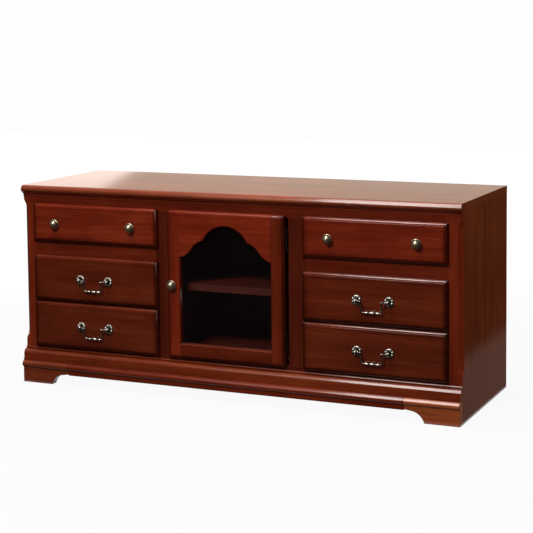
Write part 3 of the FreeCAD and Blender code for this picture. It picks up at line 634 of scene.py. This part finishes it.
def bevelled(node: str, materials: list[Material], width: float, segments: int,
             flat: bool = False) -> Object:
    """A solid with its sharp edges rounded.

    Args:
        node: The solid.
        materials: Its materials, with the one of the rounded strips last.
        width: Width of the rounding.
        segments: Steps of the rounding.
        flat: Whether its faces are shaded flat.

    Returns:
        The rounded piece.
    """
    source = linked(f"{node}_source", merged_form(node, BOARD_CREASE))
    if flat:
        source.data.shade_flat()
    for material in materials:
        source.data.materials.append(material)
    bevel = source.modifiers.new("ease", "BEVEL")
    bevel.width = width
    bevel.segments = segments
    bevel.limit_method = "ANGLE"
    bevel.angle_limit = BOARD_CREASE
    bevel.harden_normals = not flat
    bevel.material = len(materials) - 1
    piece = linked(f"{node}_eased", baked(source))
    bpy.data.objects.remove(source)
    return piece


def eased(node: str, finish: WoodFinish, edge: WoodFinish, grain: Grain, width: float,
          panel: Panel | None = None, flat: bool = False) -> None:
    """Make a board with its sharp edges eased, and the eased strips burnished.

    Args:
        node: The solid that the board stands for.
        finish: Finish of the faces.
        edge: Finish of the eased strips.
        grain: Way of the grain.
        width: Width of the easing.
        panel: Box whose stain gets painted shade at its border and a painted highlight on its lip,
            if any.
        flat: Whether its faces are shaded flat, for boards that share corners with each other.
    """
    materials = [finish.material(grain, panel), edge.material(grain)]
    stand_for(bevelled(node, materials, width, segments=2, flat=flat), node)


def eased_block(node: str, finish: PlainFinish, width: float) -> None:
    """Make a small moulded or stamped block with rounded edges of one width."""
    stand_for(bevelled(node, [finish.material()], width, segments=3), node)


def smooth(node: str, material: Material, creased: bool = False,
           cuts: int = 0) -> None:
    """Make a turned, bent or moulded piece with its curves smooth.

    Args:
        node: The solid that the piece stands for.
        material: Its material.
        creased: Whether to note how hollow the form is at each point.
        cuts: Cuts across its long edges, so that a crease stays at its own end of a rod.
    """
    mesh = merged_form(node, CURVE_CREASE)
    if creased:
        note_creases(mesh, cuts)
    mesh.materials.append(material)
    stand_for(linked(f"{node}_smooth", mesh), node)


def note_creases(mesh: Mesh, cuts: int) -> None:
    """Store at each point of a mesh how hollow the form is there, from 0 to 1.

    Args:
        mesh: The mesh to mark.
        cuts: Cuts across its long edges.
    """
    form = bmesh.new()
    form.from_mesh(mesh)
    if cuts:
        rods = [edge for edge in form.edges if edge.calc_length() > LONG_EDGE]
        bmesh.ops.subdivide_edges(form, edges=rods, cuts=cuts, use_grid_fill=True)
        form.verts.index_update()
        form.to_mesh(mesh)
    hollow = []
    for vertex in form.verts:
        angles = [edge.calc_face_angle_signed(0.0) for edge in vertex.link_edges
                  if len(edge.link_faces) == 2]
        hollow.append(min(max(-sum(angles) / FULL_HOLLOW, 0.0), 1.0))
    for _ in range(HOLLOW_ROUNDS):
        near = [max((hollow[edge.other_vert(vertex).index] for edge in vertex.link_edges),
                    default=0.0) for vertex in form.verts]
        hollow = [max(own, HOLLOW_SHARE * other) for own, other in zip(hollow, near)]
    form.free()
    mesh.attributes.new("crease", "FLOAT", "POINT").data.foreach_set("value", hollow)


def paint(node: str, material: Material) -> None:
    """Give a solid that stays as it is its material.

    Args:
        node: The solid.
        material: Its material.
    """
    mesh = frame["nodes"][node]
    mesh.data.materials.clear()
    mesh.data.materials.append(material)
    LOG.info("%s: painted", node)


# What repeats


class SmallParts:
    """Builds one kind of small part in Geometry Nodes and sets copies of it on spots."""

    title = "small_parts"

    def __init__(self) -> None:
        """Start the tree with its spots and its sizes as named inputs."""
        self.tree = bpy.data.node_groups.new(self.title, "GeometryNodeTree")
        self.inputs: dict[str, str] = {}
        face = self.tree.interface
        face.new_socket(name="Spots", in_out="INPUT", socket_type="NodeSocketGeometry")
        face.new_socket(name="Parts", in_out="OUTPUT", socket_type="NodeSocketGeometry")
        for name in self.sizes():
            socket = face.new_socket(name=name, in_out="INPUT", socket_type="NodeSocketFloat")
            self.inputs[name] = socket.identifier
        self.bench = NodeBench(self.tree)
        self.group_in = self.bench.add("NodeGroupInput")
        copies = self.copies(self.group_in.outputs["Spots"], self.shape(), "Z",
                             self.noted("facing", "FLOAT_VECTOR"))
        solid = self.bench.out("GeometryNodeRealizeInstances", {"Geometry": copies})
        self.bench.add("NodeGroupOutput", {"Parts": self.finish(solid)})

    def sizes(self) -> dict[str, float]:
        """Named sizes of the part, in metres."""
        raise NotImplementedError

    def shape(self) -> NodeSocket:
        """The nodes of one part, facing +Z from its spot."""
        raise NotImplementedError

    def finish(self, geometry: NodeSocket) -> NodeSocket:
        """The nodes that set the materials."""
        raise NotImplementedError

    def noted(self, name: str, kind: str) -> NodeSocket:
        """A named attribute, by Blender's name of its data type."""
        return self.bench.out(
            "GeometryNodeInputNamedAttribute", {"Name": name}, "Attribute", data_type=kind)

    def copies(self, spots: Feed, part: Feed, axis: str, way: Feed) -> NodeSocket:
        """Instances of a part on points, each with one axis turned the way its point says."""
        turn = self.bench.out("FunctionNodeAlignRotationToVector", {"Vector": way}, axis=axis)
        return self.bench.out("GeometryNodeInstanceOnPoints", {
            "Points": spots, "Instance": part, "Rotation": turn})

    def dress(self, geometry: Feed, material: Material, marked: str = "") -> NodeSocket:
        """Set a material on all faces, or on the marked ones.

        Args:
            geometry: What to dress.
            material: The material.
            marked: Name of the attribute that marks the faces.

        Returns:
            The dressed geometry.
        """
        feeds = {"Geometry": geometry, "Material": material}
        if marked:
            feeds["Selection"] = self.noted(marked, "BOOLEAN")
        return self.bench.out("GeometryNodeSetMaterial", feeds)

    def size(self, name: str, factor: float = 1.0) -> NodeSocket:
        """A named size, times a factor."""
        return self.bench.math("MULTIPLY", self.group_in.outputs[name], factor)

    def vector(self, x: Feed, y: Feed, z: Feed) -> NodeSocket:
        """Three values as a vector."""
        return self.bench.out("ShaderNodeCombineXYZ", {0: x, 1: y, 2: z})

    def moved(
            self, geometry: Feed, shift: Feed, scale: Feed = ONES, turn: float = 0.0) -> NodeSocket:
        """Geometry scaled, turned about Z by an angle in radians, then shifted."""
        return self.bench.out("GeometryNodeTransform", {
            "Geometry": geometry, "Translation": shift, "Scale": scale,
            "Rotation": (0.0, 0.0, turn)})

    def ball(self, segments: int, rings: int, reach: Feed) -> NodeSocket:
        """A smooth ball stretched along the axes.

        Args:
            segments: Faces around it.
            rings: Faces from pole to pole.
            reach: Its half-axes.

        Returns:
            The ball.
        """
        ball = self.bench.out("GeometryNodeMeshUVSphere", {
            "Segments": segments, "Rings": rings, "Radius": 1.0})
        rounded = self.bench.out("GeometryNodeSetShadeSmooth", {"Geometry": ball})
        return self.moved(rounded, ZEROS, reach)

    def joined(self, *parts: NodeSocket) -> NodeSocket:
        """Several shapes as one.

        Args:
            parts: The shapes.

        Returns:
            The joined geometry.
        """
        node = self.bench.add("GeometryNodeJoinGeometry")
        for part in parts:
            self.bench.feed(node.inputs["Geometry"], part)
        return node.outputs["Geometry"]

    def set_out(self, name: str, body: str, slot: str, spots: Spots) -> None:
        """Make the parts on their spots, as a plain mesh.

        Args:
            name: Name of the piece.
            body: Body that it rides on.
            slot: Not used.
            spots: Place and facing of each part.
        """
        mesh = bpy.data.meshes.new(f"{name}_spots")
        mesh.from_pydata([tuple(place) for place, _ in spots], [], [])
        facing = mesh.attributes.new("facing", "FLOAT_VECTOR", "POINT")
        facing.data.foreach_set("vector", [part for _, way in spots for part in way])
        source = linked(f"{name}_source", mesh)
        modifier = source.modifiers.new(self.title, "NODES")
        modifier.node_group = self.tree
        for size_name, value in self.sizes().items():
            modifier[self.inputs[size_name]] = value
        piece = linked(name, baked(source))
        source.modifiers.remove(modifier)
        bpy.data.objects.remove(source)
        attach(piece, body)
        LOG.info("%s: %d on %s", name, len(spots), body)


class ScrewHeads(SmallParts):
    """Raised countersunk screw heads with a cross recess painted as dark bars for its shade, whose
    bars are shares of the head.
    """

    title = "screw_heads"
    bar_length = 1.15
    bar_width = 0.26
    bar_depth = 0.30
    bar_level = 0.86

    def sizes(self) -> dict[str, float]:
        """Named sizes of one head."""
        return {"Head radius": 0.0030, "Head rise": 0.0009}

    def shape(self) -> NodeSocket:
        """A flat dome with two dark bars in its top, painted shade for the recess.

        Returns:
            The head.
        """
        radius = self.size("Head radius")
        reach = self.vector(radius, radius, self.size("Head rise"))
        head = self.ball(segments=16, rings=8, reach=reach)
        level = self.vector(0.0, 0.0, self.size("Head rise", self.bar_level))
        bars = []
        for across, along in ((self.bar_length, self.bar_width),
                              (self.bar_width, self.bar_length)):
            bar = self.bench.out("GeometryNodeMeshCube", {"Size": self.vector(
                self.size("Head radius", across), self.size("Head radius", along),
                self.size("Head rise", self.bar_depth))})
            bars.append(self.moved(bar, level))
        marked = self.bench.out(
            "GeometryNodeStoreNamedAttribute",
            {"Geometry": self.joined(*bars), "Name": "recess", "Value": True},
            data_type="BOOLEAN", domain="FACE")
        return self.joined(head, marked)

    def finish(self, geometry: NodeSocket) -> NodeSocket:
        """Steel heads with the recess bars painted dark as shade."""
        return self.dress(self.dress(geometry, SCREW.material()), RECESS_SHADE.material(), "recess")


class RosettePetals(SmallParts):
    """A ring of raised petals round the post of a pull."""

    title = "rosette_petals"
    petals = 8

    def sizes(self) -> dict[str, float]:
        """Named sizes of one rosette."""
        return {"Ring radius": 0.0112, "Petal length": 0.0052, "Petal width": 0.0041,
                "Petal rise": 0.0028, "Seat": 0.0032}

    def shape(self) -> NodeSocket:
        """Half-sunk oval petals that point outwards, with a gap under the bail's raised arm.

        Returns:
            The ring of petals.
        """
        ring = self.bench.out("GeometryNodeMeshCircle", {
            "Vertices": self.petals, "Radius": self.size("Ring radius")})
        oval = self.ball(segments=14, rings=8, reach=self.vector(
            self.size("Petal length"), self.size("Petal width"), self.size("Petal rise")))
        outwards = self.bench.add("GeometryNodeInputPosition").outputs["Position"]
        petals = self.copies(ring, oval, "X", outwards)
        seat = self.vector(0.0, 0.0, self.size("Seat"))
        return self.moved(petals, seat, turn=math.pi / self.petals)

    def finish(self, geometry: NodeSocket) -> NodeSocket:
        """Aged brass."""
        return self.dress(geometry, BRASS.material())


# Sub-assemblies


@dataclass
class Case:
    """The fixed case: top, sides, face frame, base and what is inside."""

    ease: float = 0.0007
    seam: float = 0.0016
    catch_ease: float = 0.0012
    # Darker copies of the cherry paint shade on the cornice, rails and stiles; lighter copies paint
    # the floor's bounce light on the feet.
    mouldings: dict[str, WoodFinish] = field(default_factory=lambda: {
        "top_panel": TOP, "cornice_moulding": SHADED_RAIL, "base_cap_moulding": SIDE})
    base: dict[str, WoodFinish] = field(default_factory=lambda: {
        "base_apron": CHERRY, "bracket_foot_left": LIT_LEFT_FOOT, "bracket_foot_right": LIT_FOOT})
    uprights: dict[str, WoodFinish] = field(default_factory=lambda: {
        "side_panel_left": SIDE, "side_panel_right": SIDE, "corner_post_left": CHERRY,
        "corner_post_right": CHERRY, "stile_left": SHADED_FRAME, "stile_right": SHADED_FRAME})
    rails: dict[str, WoodFinish] = field(default_factory=lambda: {
        "top_rail": SHADED_RAIL, "drawer_rails": SHADED_RAIL, "bottom_rail": SHADED_FRAME})
    inside: dict[str, Grain] = field(default_factory=lambda: {
        "shelf": Grain.LONG, "bottom_panel": Grain.LONG, "partition_left": Grain.DEEP,
        "partition_right": Grain.DEEP})

    def build(self) -> None:
        """Dress every piece of the case."""
        for node, finish in self.mouldings.items():
            smooth(node, finish.material(Grain.LONG))
        for boards, grain, width in ((self.base, Grain.LONG, self.seam),
                                     (self.uprights, Grain.TALL, self.ease),
                                     (self.rails, Grain.LONG, self.ease)):
            for node, finish in boards.items():
                eased(node, finish, CHERRY_EDGE, grain, width)
        for node, grain in self.inside.items():
            eased(node, INSIDE, INSIDE, grain, self.ease)
        paint("back_panel", BACK_BOARD.material(Grain.TALL))
        for node in ("drawer_runners", "top_cleats"):
            eased(node, BOX_WOOD, BOX_WOOD, Grain.DEEP, self.ease)
        smooth("shelf_pins", STEEL.material())
        eased_block("door_catch", PLASTIC, self.catch_ease)
        for node in ("hinge_frame_leaves", "hinge_pins"):
            smooth(node, BRONZE.material(), creased=True)


@dataclass
class Door:
    """The glazed door with its knob and its half of the hinges."""

    ease: float = 0.0005
    strike_ease: float = 0.0004
    # Tones of the door's boards: painted light and shade, lighter at the top and on the left,
    # darker at the bottom and on the right; the right and bottom boards also browner.
    boards: dict[str, tuple[Grain, Colour]] = field(default_factory=lambda: {
        "door_latch_stile": (Grain.TALL, (1.10, 1.0, 1.0)),
        "door_hinge_stile": (Grain.TALL, (0.78, 0.84, 0.86)),
        "door_arched_rail": (Grain.LONG, (1.12, 1.0, 1.02)),
        "door_bottom_rail": (Grain.LONG, (0.70, 0.78, 0.80))})

    def build(self) -> None:
        """Dress every piece of the door."""
        left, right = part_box("door_latch_stile")[0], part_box("door_hinge_stile")[1]
        for node, (grain, tone) in self.boards.items():
            panel = Panel(node, left, right, tone)
            eased(node, CHERRY, CHERRY_EDGE, grain, self.ease, panel)
        eased("glass_stops", INSIDE, INSIDE, Grain.TALL, self.ease, flat=True)
        paint("door_glass", GLASS.material())
        smooth("door_knob", KNOB.material(), creased=True)
        smooth("hinge_door_leaves", BRONZE.material(), creased=True)
        eased_block("catch_strike", STEEL, self.strike_ease)


@dataclass
class Drawers:
    """The six drawers with their knobs and pulls."""

    ease: float = 0.0007
    rosette: float = 0.016
    bail_cuts: int = 8
    # Tones of the fronts by row: the top row lighter, as painted light from above; the lower rows
    # also browner in stain.
    row_tones_and_light: dict[str, Colour] = field(default_factory=lambda: {
        "top": (0.96, 0.90, 0.97), "middle": (0.66, 0.80, 0.86), "lower": (0.70, 0.90, 1.0)})

    def build(self) -> None:
        """Dress every drawer."""
        petals = RosettePetals()
        for hand in HANDS:
            for row in ROWS:
                self.dress(f"{hand}_{row}", self.row_tones_and_light[row])
                if row == "top":
                    smooth(f"drawer_knobs_{hand}_{row}", KNOB.material(), creased=True)
                else:
                    self.pull(petals, f"{hand}_{row}")

    def dress(self, tag: str, tone: Colour) -> None:
        """Dress the front and the box of one drawer.

        Args:
            tag: Hand and row of the drawer.
            tone: Tone of its front, partly painted light.
        """
        low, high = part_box(f"drawer_front_{tag}")
        panel = Panel(tag, low, high, tone)
        eased(f"drawer_front_{tag}", CHERRY, CHERRY_EDGE, Grain.LONG, self.ease, panel)
        eased(f"drawer_box_{tag}", BOX_WOOD, BOX_WOOD, Grain.DEEP, self.ease, flat=True)

    def pull(self, petals: RosettePetals, tag: str) -> None:
        """Dress the pull of one drawer and set the petals on both its rosettes.

        Args:
            petals: The petal maker.
            tag: Hand and row of the drawer.
        """
        smooth(f"pull_posts_{tag}", BRASS.material(), creased=True)
        smooth(f"bail_{tag}", BRASS.material(), creased=True, cuts=self.bail_cuts)
        low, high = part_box(f"pull_posts_{tag}")
        middle = (low.z + high.z) / 2
        spots = [(Vector((x, high.y, middle)), Vector((0.0, -1.0, 0.0)))
                 for x in (low.x + self.rosette, high.x - self.rosette)]
        petals.set_out(f"rosette_petals_{tag}", f"drawer_{tag}", BRASS.slot, spots)


@dataclass
class Screws:
    """The screws that show when the door or a drawer is open."""

    leaf_thickness: float = 0.0014
    leaf_height: float = 0.076
    leaf_inset: float = 0.0058
    leaf_rows: tuple[float, ...] = (0.17, 0.5, 0.83)
    catch_rows: tuple[float, ...] = (0.2, 0.8)
    knob_spread: float = 0.142
    pull_spread: float = 0.052

    def build(self) -> None:
        """Set out all the screws."""
        heads = ScrewHeads()
        for half, body, way in (("frame", "case", -1.0), ("door", "door", 1.0)):
            leaves = self.leaf_spots(f"hinge_{half}_leaves", way)
            heads.set_out(f"hinge_{half}_screws", body, SCREW.slot, leaves)
        heads.set_out("catch_screws", "case", SCREW.slot, self.catch_spots())
        for hand in HANDS:
            for row in ROWS:
                tag = f"{hand}_{row}"
                bolts = self.bolt_spots(
                    tag, self.knob_spread if row == "top" else self.pull_spread)
                heads.set_out(f"pull_bolts_{tag}", f"drawer_{tag}", SCREW.slot, bolts)

    def leaf_spots(self, node: str, way: float) -> Spots:
        """Spots of three screws in each of two hinge leaves.

        Args:
            node: The leaves.
            way: Sign of the X direction that their plain face looks in.

        Returns:
            Places and facings.
        """
        low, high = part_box(node)
        plate = low.x + self.leaf_thickness if way > 0 else high.x - self.leaf_thickness
        deep = high.y - self.leaf_inset
        return [(Vector((plate, deep, bottom + share * self.leaf_height)),
                 Vector((way, 0.0, 0.0)))
                for bottom in (low.z, high.z - self.leaf_height) for share in self.leaf_rows]

    def catch_spots(self) -> Spots:
        """Spots of the two screws in the catch.

        Returns:
            Places and facings.
        """
        low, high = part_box("door_catch")
        middle = (low.y + high.y) / 2
        return [(Vector((high.x, middle, low.z + share * (high.z - low.z))),
                 Vector((1.0, 0.0, 0.0))) for share in self.catch_rows]

    def bolt_spots(self, tag: str, spread: float) -> Spots:
        """Spots of the two bolts behind a drawer front.

        Args:
            tag: Hand and row of the drawer.
            spread: Half the distance between them.

        Returns:
            Places and facings.
        """
        low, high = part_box(f"drawer_front_{tag}")
        middle = (low + high) / 2
        return [(Vector((middle.x + side * spread, high.y, middle.z)), Vector((0.0, 1.0, 0.0)))
                for side in (-1, 1)]


# Portrait


@dataclass(frozen=True)
class Lamp:
    """One soft rectangular lamp, which doesn't show in reflections."""

    name: str
    place: Point
    aim: Point
    size: Span
    power: float
    colour: Colour

    def build(self) -> None:
        """Hang the lamp."""
        data = bpy.data.lights.new(self.name, "AREA")
        data.shape = "RECTANGLE"
        data.size, data.size_y = self.size
        data.energy = self.power
        data.color = self.colour
        lamp = bpy.data.objects.new(self.name, data)
        lamp.location = self.place
        way = Vector(self.aim) - Vector(self.place)
        lamp.rotation_euler = way.to_track_quat("-Z", "Y").to_euler()
        lamp.visible_glossy = False
        bpy.context.scene.collection.objects.link(lamp)


@dataclass(frozen=True)
class Flag:
    """A studio panel, dark or bright, that shows in reflections only.

    It runs across from its low to its high corner, or from front to back where both have one X.
    """

    name: str
    low: Point
    high: Point
    glow: Colour
    lean: float = 0.0

    def build(self) -> None:
        """Stand the panel up."""
        panel = sheet(self.name, self.corners(), made_once(self.name, self.fill))
        panel.visible_camera = False
        panel.visible_diffuse = False
        panel.visible_transmission = False
        panel.visible_shadow = False

    def corners(self) -> list[Point]:
        """Its four corners, of which the third leans aside.

        Returns:
            The corners in turn.
        """
        (left, front, bottom), (right, back, top) = self.low, self.high
        if left == right:
            return [self.low, (left, back, bottom), self.high, (left, front, top)]
        return [self.low, (right, front, bottom), (right + self.lean, back, top),
                (left, back, top)]

    def fill(self, bench: NodeBench) -> None:
        """Add the nodes of its glow."""
        glow = bench.add("ShaderNodeEmission", {"Color": self.glow})
        bench.add("ShaderNodeOutputMaterial", {"Surface": glow.outputs[0]})


@dataclass
class Studio:
    """Camera, lamps, floor and background; the camera's focal length and shift are in pixels."""

    pixels: int = 533
    sensor: float = 36.0
    azimuth: float = 24.15626
    elevation: float = 4.97333
    roll: float = -0.58599
    distance: float = 4.61148
    focal: float = 1496.949
    target: Point = (0.14333, -0.25135, 0.81889)
    shift: float = -120.0
    ambient: float = 0.12
    ambient_tint: Colour = (1.0, 0.98, 0.96)
    backdrop: Colour = (0.985, 0.985, 0.985)
    floor_reach: float = 9.0
    floor_paper: Colour = (0.17, 0.165, 0.16)
    floor_white: Colour = (1.055, 1.055, 1.055)
    shadow: float = 0.11
    shadow_reach: Span = (1.3, 3.2)
    lamps: tuple[Lamp, ...] = (
        Lamp("key", (0.1, -2.9, 2.75), (0.05, -0.25, 0.35), (0.5, 0.6), 100.0,
             (1.0, 0.97, 0.93)),
        Lamp("top_light", (-0.5, -0.34, 3.1), (-0.1, -0.2, 0.5), (2.2, 1.0), 168.0,
             (1.0, 0.94, 0.86)),
        Lamp("side_fill", (3.3, 0.9, 1.5), (0.76, 0.1, 0.35), (1.2, 1.2), 44.0,
             (0.95, 1.0, 0.80)),
    )
    flags: tuple[Flag, ...] = (
        Flag("front_floor", (-9.0, -9.0, 0.004), (6.0, -0.262, 0.004), (0.022, 0.017, 0.014)),
        Flag("front_wall", (-9.0, -8.5, 0.0), (6.0, -8.5, 5.0), (0.022, 0.017, 0.014)),
        Flag("ceiling", (-9.0, -8.5, 5.0), (6.0, 1.0, 5.0), (0.42, 0.40, 0.38)),
        Flag("left_wall", (-9.0, -9.0, 0.0), (-9.0, 3.1, 5.0), (0.03, 0.024, 0.02)),
        Flag("left_floor", (-9.0, -0.262, 0.004), (-0.77, 3.1, 0.004), (0.05, 0.036, 0.03)),
        Flag("right_wall", (6.0, -9.0, 0.0), (6.0, 7.0, 5.0), (0.03, 0.018, 0.009)),
        Flag("overhead_box", (-1.15, -1.95, 4.0), (-0.1, 0.6, 4.6), (12.0, 11.5, 11.0)),
        Flag("side_box", (-1.95, -4.05, 1.4), (-1.1, -1.75, 4.1), (1.5, 1.45, 1.4)),
        Flag("key_box", (-1.1, -3.94, 1.81), (-0.15, -2.06, 3.89), (9.0, 8.7, 8.4)),
        Flag("right_box", (-1.06, -3.9, 1.6), (-0.3, -1.5, 4.2), (17.0, 16.5, 16.0)),
        Flag("side_floor", (0.765, -0.4, 0.004), (1.0, 7.0, 0.004), (0.17, 0.13, 0.11)),
        Flag("right_floor", (1.0, -0.4, 0.004), (6.0, 7.0, 0.004), (0.03, 0.018, 0.009)),
        Flag("back_flag", (0.9, 3.1, 0.0), (6.0, 3.1, 3.0), (0.04, 0.024, 0.012)),
        Flag("back_card", (-9.0, 3.1, 0.3), (0.9, 3.1, 2.4), (0.66, 0.67, 0.56)),
        Flag("left_card", (-9.0, 3.08, 0.3), (-1.78, 3.08, 2.4), (1.84, 1.73, 1.57), lean=-1.28),
    )

    def build(self) -> None:
        """Set up the portrait."""
        scene = bpy.context.scene
        scene.view_settings.view_transform = "Standard"
        self.camera(scene)
        for lamp in self.lamps:
            lamp.build()
        for flag in self.flags:
            flag.build()
        self.world(scene)
        self.floor()

    def camera(self, scene: Scene) -> None:
        """Stand the camera where the portrait was taken from.

        Args:
            scene: The scene.
        """
        turn, rise, roll = map(math.radians, (self.azimuth, self.elevation, self.roll))
        back = Vector((math.sin(turn) * math.cos(rise), -math.cos(turn) * math.cos(rise),
                       math.sin(rise)))
        level = Vector((math.cos(turn), math.sin(turn), 0.0))
        upright = back.cross(level)
        right = level * math.cos(roll) + upright * math.sin(roll)
        up = upright * math.cos(roll) - level * math.sin(roll)
        data = bpy.data.cameras.new("portrait")
        data.sensor_width = self.sensor
        data.lens = self.focal * self.sensor / self.pixels
        data.shift_y = self.shift / self.pixels
        camera = bpy.data.objects.new("portrait", data)
        stance = Matrix((right, up, back)).transposed().to_4x4()
        stance.translation = Vector(self.target) + back * self.distance
        camera.matrix_world = stance
        scene.collection.objects.link(camera)
        scene.camera = camera

    def world(self, scene: Scene) -> None:
        """White to the eye, and a soft even light on the object.

        Args:
            scene: The scene.
        """
        world = bpy.data.worlds.new("studio")
        world.use_nodes = True
        bench = NodeBench(world.node_tree)
        soft = bench.add("ShaderNodeBackground", {
            "Color": self.ambient_tint, "Strength": self.ambient})
        white = bench.add("ShaderNodeBackground", {"Color": self.backdrop})
        bench.blend(bench.seen(), soft, white, "ShaderNodeOutputWorld")
        scene.world = world

    def floor(self) -> None:
        """A plain pale floor that keeps a faint shadow."""
        reach = self.floor_reach
        corners = [(-reach, -reach, 0.0), (reach, -reach, 0.0), (reach, reach, 0.0),
                   (-reach, reach, 0.0)]
        sheet("floor", corners, made_once("floor_paper", self.fill_floor))

    def fill_floor(self, bench: NodeBench) -> None:
        """Add the nodes of the floor, which is white to the eye away from the object.

        Args:
            bench: The tree to add to.
        """
        paper = bench.add("ShaderNodeBsdfDiffuse", {"Color": self.floor_paper})
        white = bench.add("ShaderNodeEmission", {"Color": self.floor_white})
        away = bench.add("ShaderNodeVectorMath", {0: bench.mapped()}, operation="LENGTH")
        shown = bench.spread(away.outputs["Value"], self.shadow_reach, (1.0 - self.shadow, 1.0))
        factor = bench.math("MULTIPLY", bench.seen(), shown)
        bench.blend(factor, paper, white, "ShaderNodeOutputMaterial")


def main() -> None:
    """Build the stand's looks and its portrait, piece by piece."""
    logging.basicConfig(level=logging.INFO, format="%(message)s")
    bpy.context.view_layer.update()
    Studio().build()
    Case().build()
    Door().build()
    Drawers().build()
    Screws().build()


if __name__ == "__main__":
    main()
